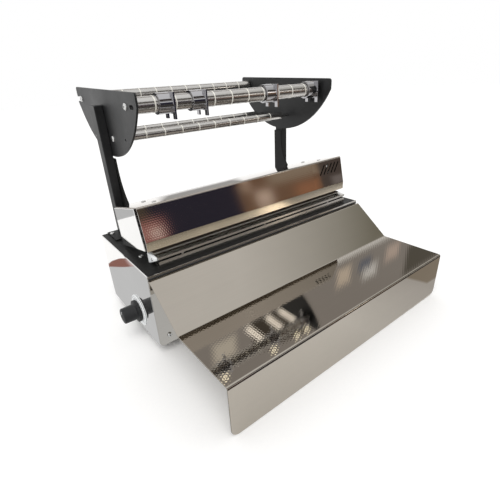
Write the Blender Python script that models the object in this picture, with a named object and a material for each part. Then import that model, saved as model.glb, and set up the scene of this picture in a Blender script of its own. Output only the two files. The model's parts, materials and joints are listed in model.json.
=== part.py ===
"""Table-top impulse heat sealer with a film roll stand, built from separate pieces.

Working frame: X runs along the jaw from the middle of the base, Y runs back from the
base's front face, and Z runs up from the table. One empty carries everything, and
shifts it so that the origin is the middle of the whole object's footprint.
"""
import math

import bmesh
import bpy
from mathutils import Matrix, Vector

# Driving dimensions, in metres and degrees

# Clearances and sheet
GAP = 0.0003
SHEET = 0.0015

# Base case
BASE_WIDTH = 0.400
BASE_DEPTH = 0.1728
BASE_HEIGHT = 0.107
FOOT_HEIGHT = 0.013
FOOT_RADIUS = 0.011
FOOT_TAPER = 0.0015
FOOT_RECESS = (0.0038, 0.005)
FOOT_INSET = 0.040
FRONT_CORNER = 0.006
VENT_COUNT = 8
VENT_PITCH = 0.011
VENT_SIZE = (0.004, 0.034)
VENT_MIDDLE = -0.070

# Work tray
TRAY_RUN = 0.0639
TRAY_DROP = 0.0478
TRAY_RIDGE = 0.0015
TRAY_FLANGE = 0.022
TRAY_STANDOFF = 0.0008
SHELF_DEPTH = 0.0977
LIP_CLEARANCE = 0.0006
LIP_CORNER = 0.010
TRAY_BEND = 0.003

# Lower jaw and heating element
JAW_INSET = 0.022
JAW_DEPTH = 0.031
JAW_HEIGHT = 0.014
JAW_SETBACK = 0.0105
JAW_GROOVE = (0.0035, 0.0026)
JAW_GROOVE_RISE = 0.0084
ELEMENT_SETBACK = 0.031
ELEMENT_WIDTH = 0.005
STRIP_THICKNESS = 0.0005
INSULATOR_WIDTH = 0.013
TAPE_WIDTH = 0.015
CLAMP_LENGTH = 0.0035
CLAMP_SETBACK = 0.013
CLAMP_DEPTH = 0.023
CLAMP_NOSE = 0.004
CLAMP_FOOT = 0.003

# Pressing arm
ARM_INSET = 0.014
ARM_SETBACK = 0.022
ARM_TOP = 0.0255
ARM_FACE = 0.0447
ARM_DEPTH = 0.086
ARM_BACK_DROP = 0.0255
ARM_SHEET = 0.0012
ARM_BEND = 0.0022
ARM_STRIP = 0.012
ARM_REST_TILT = 13.3
ARM_SLOT_COUNT = 5
ARM_SLOT_PITCH = 0.0066
ARM_SLOT = (0.0024, 0.017, 0.006)
ARM_SLOT_MARGIN = 0.0106
ARM_SLOT_DROP = 0.0156
CAP_SHEET = 0.0017
CAP_INSET = 0.0065
CAP_BOTTOM = (0.0297, 0.0290)
CAP_HEEL = 0.0055
LEVER_INSET = 0.030
LEVER_THICKNESS = 0.003
LEVER_EYE_WALL = 0.005
LEVER_NECK_DROP = 0.0135
LEVER_NECK_CLEARANCE = 0.0019
LEVER_STEP = 0.0045
LEVER_RISE = 0.018
LEVER_HEEL = 0.0216
LEVER_NOSE = 0.004
LEVER_SLOPE = 0.012
PAD_SIZE = (0.013, 0.005)
PRESS_BAR = (0.014, 0.012)
JAW_CLEARANCE = 0.0006

# Hinge and its springs
PIVOT_INSET = 0.0248
PIVOT_RISE = 0.023
HINGE_RADIUS = 0.004
HINGE_OVERHANG = 0.006
SPRING_COIL_RADIUS = 0.0064
SPRING_WIRE_RADIUS = 0.0009
SPRING_PITCH = 0.0024
SPRING_TURNS = 5
SPRING_LEG = 0.026
# Bends of the spring's ends, in coil radii
SPRING_HOOK_BENDS = ((-1.6, -0.2), (-0.95, 0.85))
SPRING_FOOT_BENDS = ((1.2, 0.7), (1.5, -0.6))
SPRING_FOOT_RUN = (1.5, 1.9, 3.0)

# Roll stand
POST_WIDTH = 0.012
POST_DEPTH = 0.018
POST_HEIGHT = 0.184
POST_INSET = 0.026
FLANGE_THICKNESS = 0.0018
FLANGE_REACH = (0.016, 0.026)
GUSSET_THICKNESS = 0.003
GUSSET_DEPTH = 0.039
GUSSET_HEIGHT = 0.1125
GUSSET_NOSE = 0.045
GUSSET_FLARE = 3.0
PLATE_THICKNESS = 0.0025
PLATE_LENGTH = 0.230
PLATE_TOP = 0.2005
PLATE_REAR_RISE = 0.006
PLATE_DROP = 0.0835
PLATE_SIDE = 0.0155
PLATE_CORNER = 0.004
PLATE_OVERHANG = 0.0952
AXLE_RADIUS = 0.003
AXLE_OVERHANG = 0.0015
UPPER_TUBE = (0.010, 0.0085)
LOWER_TUBE = (0.0065, 0.0053)
TUBE_COLLAR = 0.008
UPPER_TUBE_PLAY = 0.0027
LOWER_TUBE_PLAY = 0.014
FRONT_AXLE = (0.033, 0.0155)
REAR_AXLE = (0.020, 0.0105)
LOW_FRONT_AXLE = (0.101, 0.0585)
LOW_REAR_AXLE = (0.059, 0.0604)
SPARE_HOLE = (0.054, 0.0555, 0.0018)
PLATE_SLOT = (0.018, 0.0048, 0.012)
STOP_PLACES = (-0.1060, -0.0593, 0.0641, 0.1515)
STOP_WALL = 0.0023
STOP_LENGTH = 0.0175
STOP_PLATE = 0.0025
STOP_RIM = 0.0009
STOP_DROP = 0.0064
STOP_NOTCH = 0.0074

# Timer and its knob
KNOB_SETBACK = 0.0585
KNOB_RISE = 0.029
DIAL_RADIUS = 0.023
DIAL_THICKNESS = 0.001
KNOB_REACH = 0.025
KNOB_RADIUS = 0.011
SKIRT_RADIUS = 0.0158
SKIRT_LENGTH = 0.0052
KNOB_FLUTES = 28
FLUTE_DEPTH = 0.0008
KNOB_EDGE = 0.001
KNOB_DRAFT = 0.0003
KNOB_RELIEF = 0.002
SHAFT_RADIUS = 0.003
SHAFT_LENGTH = 0.030
SHAFT_REACH = 0.0175
BUSH_RADIUS = 0.0048
TIMER_SIZE = (0.022, 0.030, 0.032)

# Electrical pieces inside the base
SWITCH_SIZE = (0.0104, 0.020, 0.0158)
SWITCH_SETBACK = 0.082
PLUNGER_RADIUS = 0.0015
PLUNGER_TRAVEL = 0.0012
PLUNGER_DEPTH = 0.006
BRACKET_FOOT = 0.0094
TRANSFORMER_PLACE = (0.100, 0.0864)
CORE_SIZE = (0.066, 0.040, 0.055)
CORE_LEG = 0.022
CORE_YOKE = 0.011
WINDING_THICKNESS = 0.0098
BOARD_SIZE = (0.090, 0.070, 0.0016)
BOARD_RISE = 0.008
BOARD_PLACE = (-0.060, 0.095)
BOARD_LEG_RADIUS = 0.003
BOARD_LEG_INSET = 0.006
# Corner and size of the relay, the heat sink and the terminal row
BOARD_PARTS = (
    ((-0.034, -0.024), (0.028, 0.012, 0.016)),
    ((0.006, -0.022), (0.030, 0.004, 0.028)),
    ((-0.030, 0.008), (0.034, 0.018, 0.011)),
)
GLAND_BORE = 0.0038
GLAND_THREAD = 0.0078
GLAND_FLANGE = 0.011
GLAND_LENGTH = 0.012
GLAND_RIM = 0.0036
GLAND_NOSE = 0.0082
NUT_WALL = 0.0035
NUT_THICKNESS = 0.004
GLAND_PLACE = (0.140, 0.032)
SCREW_HEAD = (0.0033, 0.0019)
SCREW_EDGE = 0.001
SCREW_SHANK = (0.0015, 0.006)
SCREW_PLACE = (0.015, 0.013)

# Sizes worked out from the driving dimensions
HALF_WIDTH = BASE_WIDTH / 2
JAW_LENGTH = BASE_WIDTH - 2 * JAW_INSET
ARM_LENGTH = BASE_WIDTH - 2 * ARM_INSET
DECK_TOP = FOOT_HEIGHT + BASE_HEIGHT
CASE_FLOOR = FOOT_HEIGHT + SHEET
SHELF_TOP = DECK_TOP - TRAY_RIDGE - TRAY_DROP
LIP_FRONT = -TRAY_RUN - SHELF_DEPTH
JAW_TOP = DECK_TOP + GAP + JAW_HEIGHT
TAPE_TOP = JAW_TOP + 3 * (GAP + STRIP_THICKNESS)
PIVOT_Y = BASE_DEPTH - PIVOT_INSET
PIVOT_Z = DECK_TOP + PIVOT_RISE
ARM_REACH = PIVOT_Y - ARM_SETBACK
ARM_BACK = ARM_REACH - ARM_DEPTH
REST_TILT = math.radians(ARM_REST_TILT)
STRIP_TOP = ARM_TOP - ARM_FACE
STRIP_FOOT = (-ARM_REACH + ARM_STRIP * math.sin(REST_TILT), STRIP_TOP - ARM_STRIP * math.cos(REST_TILT))
CLOSED_TILT = math.asin((JAW_TOP + JAW_CLEARANCE - PIVOT_Z) / math.hypot(*STRIP_FOOT)) - (
    math.atan2(STRIP_FOOT[1], -STRIP_FOOT[0])
)
CLOSING_ANGLE = REST_TILT - CLOSED_TILT
PLATE_REAR = BASE_DEPTH + PLATE_OVERHANG
PLATE_FRONT = PLATE_REAR - PLATE_LENGTH
PLATE_TOP_Z = DECK_TOP + PLATE_TOP
POST_BACK = BASE_DEPTH - SHEET / 2
POST_OUTER = HALF_WIDTH - POST_INSET
POST_INNER = POST_OUTER - POST_WIDTH
PLATE_OUTER = POST_INNER - GAP
PLATE_INNER = PLATE_OUTER - PLATE_THICKNESS
LEVER_OUTER = ARM_LENGTH / 2 - LEVER_INSET
KNOB_Z = FOOT_HEIGHT + KNOB_RISE
FOOTPRINT_X = -KNOB_REACH / 2
FOOTPRINT_Y = (LIP_FRONT + PLATE_REAR) / 2

ROUND = 24
SMALL_ROUND = 16
LEG_SIDES = 8
FLARE_STEPS = 8
HEXAGON = 6
SHADE_ANGLE = math.radians(35)


def clear_scene():
    """Removes every object, so the model is the only thing in the scene."""
    for old in list(bpy.data.objects):
        bpy.data.objects.remove(old, do_unlink=True)


def finish(name, color, roughness, metallic=0.0):
    """A Principled material."""
    made = bpy.data.materials.new(name)
    made.use_nodes = True
    shader = made.node_tree.nodes["Principled BSDF"]
    shader.inputs["Base Color"].default_value = (*color, 1.0)
    shader.inputs["Roughness"].default_value = roughness
    shader.inputs["Metallic"].default_value = metallic
    return made


def empty(name, place, tilt=0.0, parent=None):
    """A guide frame, turned about X by tilt."""
    made = bpy.data.objects.new(name, None)
    made.location = place
    made.rotation_euler = (tilt, 0.0, 0.0)
    made.parent = parent
    bpy.context.collection.objects.link(made)
    return made


def add(name, mesh_data, look, parent, place=(0.0, 0.0, 0.0)):
    """One named object from a bmesh, with its faces pointing out."""
    bmesh.ops.remove_doubles(mesh_data, verts=mesh_data.verts[:], dist=1e-7)
    bmesh.ops.recalc_face_normals(mesh_data, faces=mesh_data.faces[:])
    mesh = bpy.data.meshes.new(name)
    mesh_data.to_mesh(mesh)
    mesh_data.free()
    mesh.shade_smooth()
    mesh.set_sharp_from_angle(angle=SHADE_ANGLE)
    made = bpy.data.objects.new(name, mesh)
    made.parent = parent
    made.location = place
    if look is not None:
        mesh.materials.append(look)
    bpy.context.collection.objects.link(made)
    return made


def block(low, high):
    """A box between two corners."""
    made = bmesh.new()
    size = [b - a for a, b in zip(low, high)]
    middle = [(a + b) / 2 for a, b in zip(low, high)]
    place = Matrix.Translation(middle) @ Matrix.Diagonal((*size, 1.0))
    bmesh.ops.create_cube(made, size=1.0, matrix=place)
    return made


def prism(outline, start, end, axis="X"):
    """An outline swept along an axis: (y, z) along X, (x, z) along Y, (x, y) along Z."""

    def point(along, a, b):
        return {"X": (along, a, b), "Y": (a, along, b), "Z": (a, b, along)}[axis]

    made = bmesh.new()
    near = [made.verts.new(point(start, a, b)) for a, b in outline]
    far = [made.verts.new(point(end, a, b)) for a, b in outline]
    made.faces.new(near)
    made.faces.new(far[::-1])
    count = len(outline)
    for i in range(count):
        j = (i + 1) % count
        made.faces.new((near[i], far[i], far[j], near[j]))
    return made


def turned(profile, axis="X", sides=ROUND, closed=True):
    """A profile of (along, radius) points turned about an axis through the origin."""

    def point(along, radius, angle):
        a = radius * math.cos(angle)
        b = radius * math.sin(angle)
        return {"X": (along, a, b), "Y": (a, along, b), "Z": (a, b, along)}[axis]

    made = bmesh.new()
    rings = []
    for along, radius in profile:
        steps = sides if radius > 0 else 1
        rings.append([made.verts.new(point(along, radius, math.tau * k / sides)) for k in range(steps)])
    pairs = list(zip(rings, rings[1:]))
    if closed:
        pairs.append((rings[-1], rings[0]))
    for first, second in pairs:
        for k in range(sides):
            n = (k + 1) % sides
            corners = [first[k % len(first)], first[n % len(first)]]
            corners += [second[n % len(second)], second[k % len(second)]]
            unique = list(dict.fromkeys(corners))
            if len(unique) > 2:
                made.faces.new(unique)
    return made


def rod(start, end, radius, axis="X", sides=SMALL_ROUND):
    """A solid round bar."""
    return turned([(start, 0.0), (start, radius), (end, radius), (end, 0.0)], axis, sides, closed=False)


def arc(center, radius, first, last, steps):
    """Points of an arc, from the angle first to the angle last, in degrees."""
    angles = [math.radians(first + (last - first) * k / steps) for k in range(steps + 1)]
    return [(center[0] + radius * math.cos(a), center[1] + radius * math.sin(a)) for a in angles]


def rounded(points, radius, steps=4):
    """An open path with each inner corner replaced by an arc of the given radius."""
    path = [Vector(points[0])]
    for before, corner, after in zip(points, points[1:], points[2:]):
        here = Vector(corner)
        back = (Vector(before) - here).normalized()
        ahead = (Vector(after) - here).normalized()
        half = back.angle(ahead) / 2
        trim = radius / math.tan(half)
        middle = here + (back + ahead).normalized() * radius / math.sin(half)
        start = here + back * trim - middle
        turn = (math.pi - 2 * half) * (1 if back.cross(ahead) < 0 else -1)
        for k in range(steps + 1):
            path.append(middle + Matrix.Rotation(turn * k / steps, 2) @ start)
    path.append(Vector(points[-1]))
    return path


def thickened(path, thickness):
    """The closed outline of a sheet that lies on the left of a path."""
    inner = []
    for i, here in enumerate(path):
        ahead = path[i + 1] - here if i < len(path) - 1 else None
        behind = here - path[i - 1] if i > 0 else None
        first = (behind or ahead).normalized()
        second = (ahead or behind).normalized()
        normal = Vector((-first.y - second.y, first.x + second.x)).normalized()
        reach = thickness / normal.dot(Vector((-first.y, first.x)))
        inner.append(here + normal * reach)
    return [tuple(p) for p in path] + [tuple(p) for p in inner[::-1]]


def slot_outline(middle, width, length, lean=0.0, steps=5):
    """A round-ended slot that stands along the second axis and leans along the first."""
    radius = width / 2
    run = Vector((lean, length - width))
    turn = math.degrees(math.atan2(run.y, run.x)) - 90
    top = Vector(middle) + run / 2
    bottom = Vector(middle) - run / 2
    return arc(top, radius, turn, turn + 180, steps) + arc(bottom, radius, turn + 180, turn + 360, steps)


def combine(target, tool_mesh, parent, operation="DIFFERENCE"):
    """Cuts or joins a hidden tool shape with a Boolean."""
    tool = add(f"{target.name}_tool", tool_mesh, None, parent)
    tool.hide_render = True
    tool.display_type = "WIRE"
    step = target.modifiers.new(operation.title(), "BOOLEAN")
    step.operation = operation
    step.object = tool
    return target


def turned_by(point, angle):
    """A (y, z) point turned about the X axis."""
    y, z = point
    return (y * math.cos(angle) - z * math.sin(angle), y * math.sin(angle) + z * math.cos(angle))


def side_name(side):
    return "left" if side < 0 else "right"


clear_scene()

POLISHED = finish("polished_steel", (0.66, 0.65, 0.63), 0.08, 1.0)
BRUSHED = finish("brushed_steel", (0.56, 0.53, 0.49), 0.30, 1.0)
BLACK = finish("black_paint", (0.020, 0.021, 0.021), 0.38)
ALUMINIUM = finish("aluminium", (0.72, 0.72, 0.73), 0.22, 1.0)
STEEL = finish("bright_steel", (0.70, 0.70, 0.70), 0.18, 1.0)
CHROME = finish("chromed_steel", (0.62, 0.61, 0.59), 0.10, 1.0)
RUBBER = finish("black_rubber", (0.025, 0.025, 0.026), 0.75)
SILICONE = finish("pale_silicone", (0.78, 0.80, 0.74), 0.55)
TAPE = finish("brown_glass_cloth", (0.075, 0.055, 0.042), 0.45)
WHITE = finish("white_plastic", (0.82, 0.84, 0.84), 0.40)
KNOB_BLACK = finish("black_plastic", (0.022, 0.023, 0.025), 0.42)
COPPER = finish("lacquered_copper", (0.55, 0.22, 0.08), 0.35, 1.0)
BOARD = finish("green_board", (0.03, 0.20, 0.09), 0.50)

sealer = empty("sealer_origin", (-FOOTPRINT_X, -FOOTPRINT_Y, 0.0))
SIDES = (-1, 1)


def base_case():
    """Bottom pan, four walls and the deck of the base."""
    inner = HALF_WIDTH - SHEET - GAP
    wall_front = SHEET + GAP
    pan = block((-inner, wall_front, FOOT_HEIGHT), (inner, BASE_DEPTH, CASE_FLOOR))
    add("base_pan", pan, BRUSHED, sealer)
    for side in SIDES:
        faces = sorted((side * HALF_WIDTH, side * (HALF_WIDTH - SHEET)))
        plate = block((faces[0], wall_front, FOOT_HEIGHT), (faces[1], BASE_DEPTH, DECK_TOP))
        plate = add(f"{side_name(side)}_side_plate", plate, POLISHED, sealer)
        if side < 0:
            hole = rod(-HALF_WIDTH - SHEET, -HALF_WIDTH + 2 * SHEET, BUSH_RADIUS + GAP)
            bmesh.ops.translate(hole, verts=hole.verts[:], vec=(0.0, KNOB_SETBACK, KNOB_Z))
            combine(plate, hole, sealer)
    front = block((-HALF_WIDTH, 0.0, FOOT_HEIGHT), (HALF_WIDTH, SHEET, DECK_TOP))
    front = add("front_panel", front, POLISHED, sealer)
    for side in SIDES:
        corner = (side * HALF_WIDTH, FOOT_HEIGHT)
        combine(front, corner_tool(corner, FRONT_CORNER, side, -SHEET, 2 * SHEET), sealer)
        hole = rod(-SHEET, 2 * SHEET, SCREW_SHANK[0] + GAP, "Y")
        place = (side * (HALF_WIDTH - SCREW_PLACE[0]), 0.0, FOOT_HEIGHT + SCREW_PLACE[1])
        bmesh.ops.translate(hole, verts=hole.verts[:], vec=place)
        combine(front, hole, sealer)
    deck = block((-inner, wall_front, DECK_TOP - SHEET), (inner, BASE_DEPTH, DECK_TOP))
    add("top_deck", deck, BLACK, sealer)
    low = (-inner, BASE_DEPTH - SHEET, CASE_FLOOR + GAP)
    back = add("back_panel", block(low, (inner, BASE_DEPTH, DECK_TOP - SHEET - GAP)), BRUSHED, sealer)
    middle = (CASE_FLOOR + DECK_TOP) / 2
    for k in range(VENT_COUNT):
        x = (k - (VENT_COUNT - 1) / 2) * VENT_PITCH + VENT_MIDDLE
        outline = slot_outline((x, middle), *VENT_SIZE)
        combine(back, prism(outline, BASE_DEPTH - 2 * SHEET, BASE_DEPTH + SHEET, "Y"), sealer)
    hole = rod(BASE_DEPTH - 2 * SHEET, BASE_DEPTH + SHEET, GLAND_THREAD + GAP, "Y", ROUND)
    bmesh.ops.translate(hole, verts=hole.verts[:], vec=(GLAND_PLACE[0], 0.0, FOOT_HEIGHT + GLAND_PLACE[1]))
    combine(back, hole, sealer)


def corner_tool(corner, radius, side, start, end):
    """A tool that rounds a lower corner of an upright sheet, swept along Y."""
    x, z = corner
    outer = (x + side * radius, z - radius)
    bend = arc((x - side * radius, z + radius), radius, 270, 360 if side > 0 else 180, 5)
    outline = [outer, (x - side * radius, z - radius)] + bend + [(x + side * radius, z + radius)]
    return prism(outline, start, end, "Y")


def work_tray():
    """Folded sheet: fixing flange, slope, shelf and front lip."""
    ridge = DECK_TOP - TRAY_RIDGE
    face = -TRAY_STANDOFF
    corners = [(face, ridge - TRAY_FLANGE), (face, ridge), (-TRAY_RUN, SHELF_TOP)]
    corners += [(LIP_FRONT, SHELF_TOP), (LIP_FRONT, LIP_CLEARANCE)]
    outline = thickened(rounded(corners, TRAY_BEND), SHEET)
    tray = add("work_tray", prism(outline, -HALF_WIDTH, HALF_WIDTH), POLISHED, sealer)
    for side in SIDES:
        corner = (side * HALF_WIDTH, LIP_CLEARANCE)
        tool = corner_tool(corner, LIP_CORNER, side, LIP_FRONT - SHEET, LIP_FRONT + 2 * SHEET)
        combine(tray, tool, sealer)


def feet():
    """Rubber feet with a screw recess."""
    top = FOOT_HEIGHT - GAP
    recess_radius, recess = FOOT_RECESS
    profile = [(top, 0.0), (top, FOOT_RADIUS), (0.0, FOOT_RADIUS - FOOT_TAPER), (0.0, recess_radius)]
    profile += [(recess, recess_radius), (recess, 0.0)]
    for side in SIDES:
        for end, y in (("front", FOOT_INSET), ("rear", BASE_DEPTH - FOOT_INSET)):
            place = (side * (HALF_WIDTH - FOOT_INSET), y, 0.0)
            add(f"foot_{end}_{side_name(side)}", turned(profile, "Z", closed=False), RUBBER, sealer, place)


def case_screws():
    """Pan-head screws at the lower front corners."""
    head_radius, head = SCREW_HEAD
    shank_radius, shank = SCREW_SHANK
    face = -GAP
    dome = head_radius - SCREW_EDGE
    profile = [(face - head, 0.0), (face - head, dome), (face - head + SCREW_EDGE, head_radius)]
    profile += [(face, head_radius), (face, shank_radius), (shank, shank_radius), (shank, 0.0)]
    for side in SIDES:
        place = (side * (HALF_WIDTH - SCREW_PLACE[0]), 0.0, FOOT_HEIGHT + SCREW_PLACE[1])
        screw = turned(profile, "Y", SMALL_ROUND, closed=False)
        add(f"front_screw_{side_name(side)}", screw, STEEL, sealer, place)


def lower_jaw():
    """Jaw bar with the insulation, heating ribbon, cover tape and end clamps."""
    front = JAW_SETBACK
    back = JAW_SETBACK + JAW_DEPTH
    low = DECK_TOP + GAP
    groove_depth, groove = JAW_GROOVE
    groove_low = low + JAW_GROOVE_RISE
    groove_top = groove_low + groove
    groove_back = front + groove_depth
    outline = [(front, low), (back, low), (back, JAW_TOP), (front, JAW_TOP), (front, groove_top)]
    outline += [(groove_back, groove_top), (groove_back, groove_low), (front, groove_low)]
    half = JAW_LENGTH / 2
    add("lower_jaw", prism(outline, -half, half), ALUMINIUM, sealer)
    layers = (("insulating_strip", INSULATOR_WIDTH, WHITE), ("heating_element", ELEMENT_WIDTH, STEEL))
    layers += (("cover_tape", TAPE_WIDTH, TAPE),)
    for k, (name, width, look) in enumerate(layers):
        bottom = JAW_TOP + GAP + k * (GAP + STRIP_THICKNESS)
        low_corner = (-half, ELEMENT_SETBACK - width / 2, bottom)
        high_corner = (half, ELEMENT_SETBACK + width / 2, bottom + STRIP_THICKNESS)
        add(name, block(low_corner, high_corner), look, sealer)
    clamp_back = CLAMP_SETBACK + CLAMP_DEPTH
    clamp = [(clamp_back, low), (clamp_back, JAW_TOP), (CLAMP_SETBACK, JAW_TOP)]
    clamp += [(CLAMP_SETBACK, JAW_TOP - CLAMP_NOSE), (clamp_back - CLAMP_FOOT, low)]
    for side in SIDES:
        ends = sorted((side * (half + GAP), side * (half + GAP + CLAMP_LENGTH)))
        add(f"element_clamp_{side_name(side)}", prism(clamp, *ends), WHITE, sealer)


def arm():
    """Pressing arm: cover, end caps, levers, pressure bar and silicone pad."""
    pivot = (0.0, PIVOT_Y, PIVOT_Z)
    level = empty("arm_pivot", pivot, -REST_TILT, sealer)
    closed = empty("arm_closed_frame", pivot, -CLOSING_ANGLE, sealer)
    half = ARM_LENGTH / 2
    corners = [(-ARM_BACK, ARM_TOP - ARM_BACK_DROP), (-ARM_BACK, ARM_TOP), (-ARM_REACH, ARM_TOP)]
    corners += [(-ARM_REACH, STRIP_TOP), STRIP_FOOT]
    cover = prism(thickened(rounded(corners, ARM_BEND), ARM_SHEET), -half, half)
    cover = add("arm_cover", cover, POLISHED, level)
    width, length, lean = ARM_SLOT
    for k in range(ARM_SLOT_COUNT):
        middle = (half - ARM_SLOT_MARGIN - ARM_SLOT_PITCH * k, ARM_TOP - ARM_SLOT_DROP)
        outline = slot_outline(middle, width, length, lean)
        combine(cover, prism(outline, -ARM_REACH - ARM_SHEET, -ARM_REACH + 2 * ARM_SHEET, "Y"), level)
    inset = CAP_INSET
    front_bottom, rear_bottom = CAP_BOTTOM
    cap = [(-ARM_REACH + inset, ARM_TOP - ARM_SHEET), (-ARM_REACH + inset, -front_bottom)]
    cap += [(CAP_HEEL - ARM_BACK, -rear_bottom), (-ARM_BACK, ARM_TOP - ARM_SHEET)]
    bar_width, bar_height = PRESS_BAR
    pad_width, pad_height = PAD_SIZE
    press = ELEMENT_SETBACK - PIVOT_Y
    pad_low = TAPE_TOP + GAP - PIVOT_Z
    bar_low = pad_low + pad_height + GAP
    bar_top = bar_low + bar_height
    seat = [turned_by((press + s * bar_width / 2, bar_top + GAP), CLOSED_TILT) for s in SIDES]
    for side in SIDES:
        ends = sorted((side * (half + GAP), side * (half + GAP + CAP_SHEET)))
        add(f"arm_cap_{side_name(side)}", prism(cap, *ends), POLISHED, level)
        ends = sorted((side * LEVER_OUTER, side * (LEVER_OUTER - LEVER_THICKNESS)))
        lever = add(f"arm_lever_{side_name(side)}", prism(lever_outline(seat), *ends), STEEL, level)
        hole = rod(-half, half, HINGE_RADIUS + GAP)
        combine(lever, hole, level)
    half = JAW_LENGTH / 2
    low = (-half, press - bar_width / 2, bar_low)
    add("pressure_bar", block(low, (half, press + bar_width / 2, bar_top)), ALUMINIUM, closed)
    low = (-half, press - pad_width / 2, pad_low)
    add("silicone_pad", block(low, (half, press + pad_width / 2, pad_low + pad_height)), SILICONE, closed)


def lever_outline(seat):
    """Side view of a lever: a round eye on the hinge, a neck, and a web that sits on the bar."""
    eye = HINGE_RADIUS + LEVER_EYE_WALL
    neck_top = ARM_TOP - ARM_BACK_DROP - LEVER_NECK_CLEARANCE
    web_top = ARM_TOP - ARM_SHEET - GAP
    front, rear = seat
    outline = arc((0.0, 0.0), eye, -100, 70, 10)
    outline += [(-ARM_BACK + LEVER_STEP, neck_top), (-ARM_BACK - LEVER_STEP, neck_top)]
    outline += [(-ARM_BACK - LEVER_RISE, web_top), (front[0] + LEVER_NOSE, web_top), front, rear]
    outline += [(rear[0] + LEVER_SLOPE, -LEVER_NECK_DROP), (-LEVER_HEEL, -LEVER_NECK_DROP)]
    return outline


def hinge():
    """Hinge rod and the two torsion springs that lift the arm."""
    reach = PLATE_OUTER + HINGE_OVERHANG
    axis = rod(-reach, reach, HINGE_RADIUS)
    add("hinge_rod", axis, STEEL, sealer, (0.0, PIVOT_Y, PIVOT_Z))
    for side in SIDES:
        spring(side)


def spring(side):
    """A torsion spring round the hinge rod, with a leg on the stand foot and a hook under the lever."""
    wire = SPRING_WIRE_RADIUS
    start = LEVER_OUTER - LEVER_THICKNESS - 2 * wire
    steps = 10
    coil = []
    for k in range(SPRING_TURNS * steps + 1):
        angle = math.pi / 2 - math.tau * k / steps
        x = start - SPRING_PITCH * k / steps
        coil.append((x, SPRING_COIL_RADIUS * math.cos(angle), SPRING_COIL_RADIUS * math.sin(angle)))
    gap = min(
        (Vector(a) - Vector(b)).length - 2 * wire
        for i, a in enumerate(coil)
        for b in coil[i + steps // 2:]
    )
    print(f"spring_{side_name(side)} least gap between turns: {gap * 1000:.2f} mm")
    radius = SPRING_COIL_RADIUS
    tip = turned_by((-SPRING_LEG, -LEVER_NECK_DROP - GAP - wire), -REST_TILT)
    lever_middle = LEVER_OUTER - LEVER_THICKNESS / 2
    hook = [(lever_middle + wire, *tip), (start, tip[0] + 2 * wire, tip[1])]
    hook += [(start, y * radius, z * radius) for y, z in SPRING_HOOK_BENDS]
    foot_z = DECK_TOP + FLANGE_THICKNESS + 2 * GAP + wire - PIVOT_Z
    end_x = coil[-1][0]
    leg = [(end_x, y * radius, z * radius) for y, z in SPRING_FOOT_BENDS]
    drop, seat, tail = (run * radius for run in SPRING_FOOT_RUN)
    leg += [(end_x, drop, foot_z + 3 * wire), (end_x, seat, foot_z), (end_x, tail, foot_z)]
    path = hook + coil + leg
    curve = bpy.data.curves.new(f"spring_{side_name(side)}", "CURVE")
    curve.dimensions = "3D"
    curve.bevel_depth = wire
    curve.bevel_resolution = 1
    curve.use_fill_caps = True
    line = curve.splines.new("POLY")
    line.points.add(len(path) - 1)
    for point, (x, y, z) in zip(line.points, path):
        point.co = (side * x, y, z, 1.0)
    curve.materials.append(STEEL)
    made = bpy.data.objects.new(curve.name, curve)
    made.parent = sealer
    made.location = (0.0, PIVOT_Y, PIVOT_Z)
    bpy.context.collection.objects.link(made)


def stand():
    """Feet with gussets, posts and the two roll plates."""
    low = DECK_TOP + GAP
    flange_top = low + FLANGE_THICKNESS
    post_front = POST_BACK - POST_DEPTH
    for side in SIDES:
        name = side_name(side)
        ends = sorted((side * PLATE_OUTER, side * (PLATE_OUTER - GUSSET_THICKNESS)))
        front = POST_BACK - GUSSET_DEPTH
        gusset_top = low + GUSSET_HEIGHT
        gusset = [(POST_BACK, low), (POST_BACK, gusset_top)]
        for k in range(FLARE_STEPS + 1):
            down = k / FLARE_STEPS
            y = post_front - (post_front - front) * down ** GUSSET_FLARE
            gusset.append((y, gusset_top - (GUSSET_HEIGHT - GUSSET_NOSE) * down))
        gusset.append((front, low))
        foot = add(f"stand_foot_{name}", prism(gusset, *ends), BLACK, sealer)
        outer = sorted((side * (POST_OUTER + FLANGE_REACH[0]), side * (PLATE_INNER - FLANGE_REACH[1])))
        flange = block((outer[0], front - GAP, low), (outer[1], POST_BACK - GAP, flange_top))
        combine(foot, flange, sealer, "UNION")
        hole = rod(ends[0] - GAP, ends[1] + GAP, HINGE_RADIUS + GAP)
        bmesh.ops.translate(hole, verts=hole.verts[:], vec=(0.0, PIVOT_Y, PIVOT_Z))
        combine(foot, hole, sealer)
        ends = sorted((side * POST_OUTER, side * POST_INNER))
        post = block((ends[0], post_front, flange_top + GAP), (ends[1], POST_BACK, DECK_TOP + POST_HEIGHT))
        add(f"post_{name}", post, BLACK, sealer)
        roll_plate(side)


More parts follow.
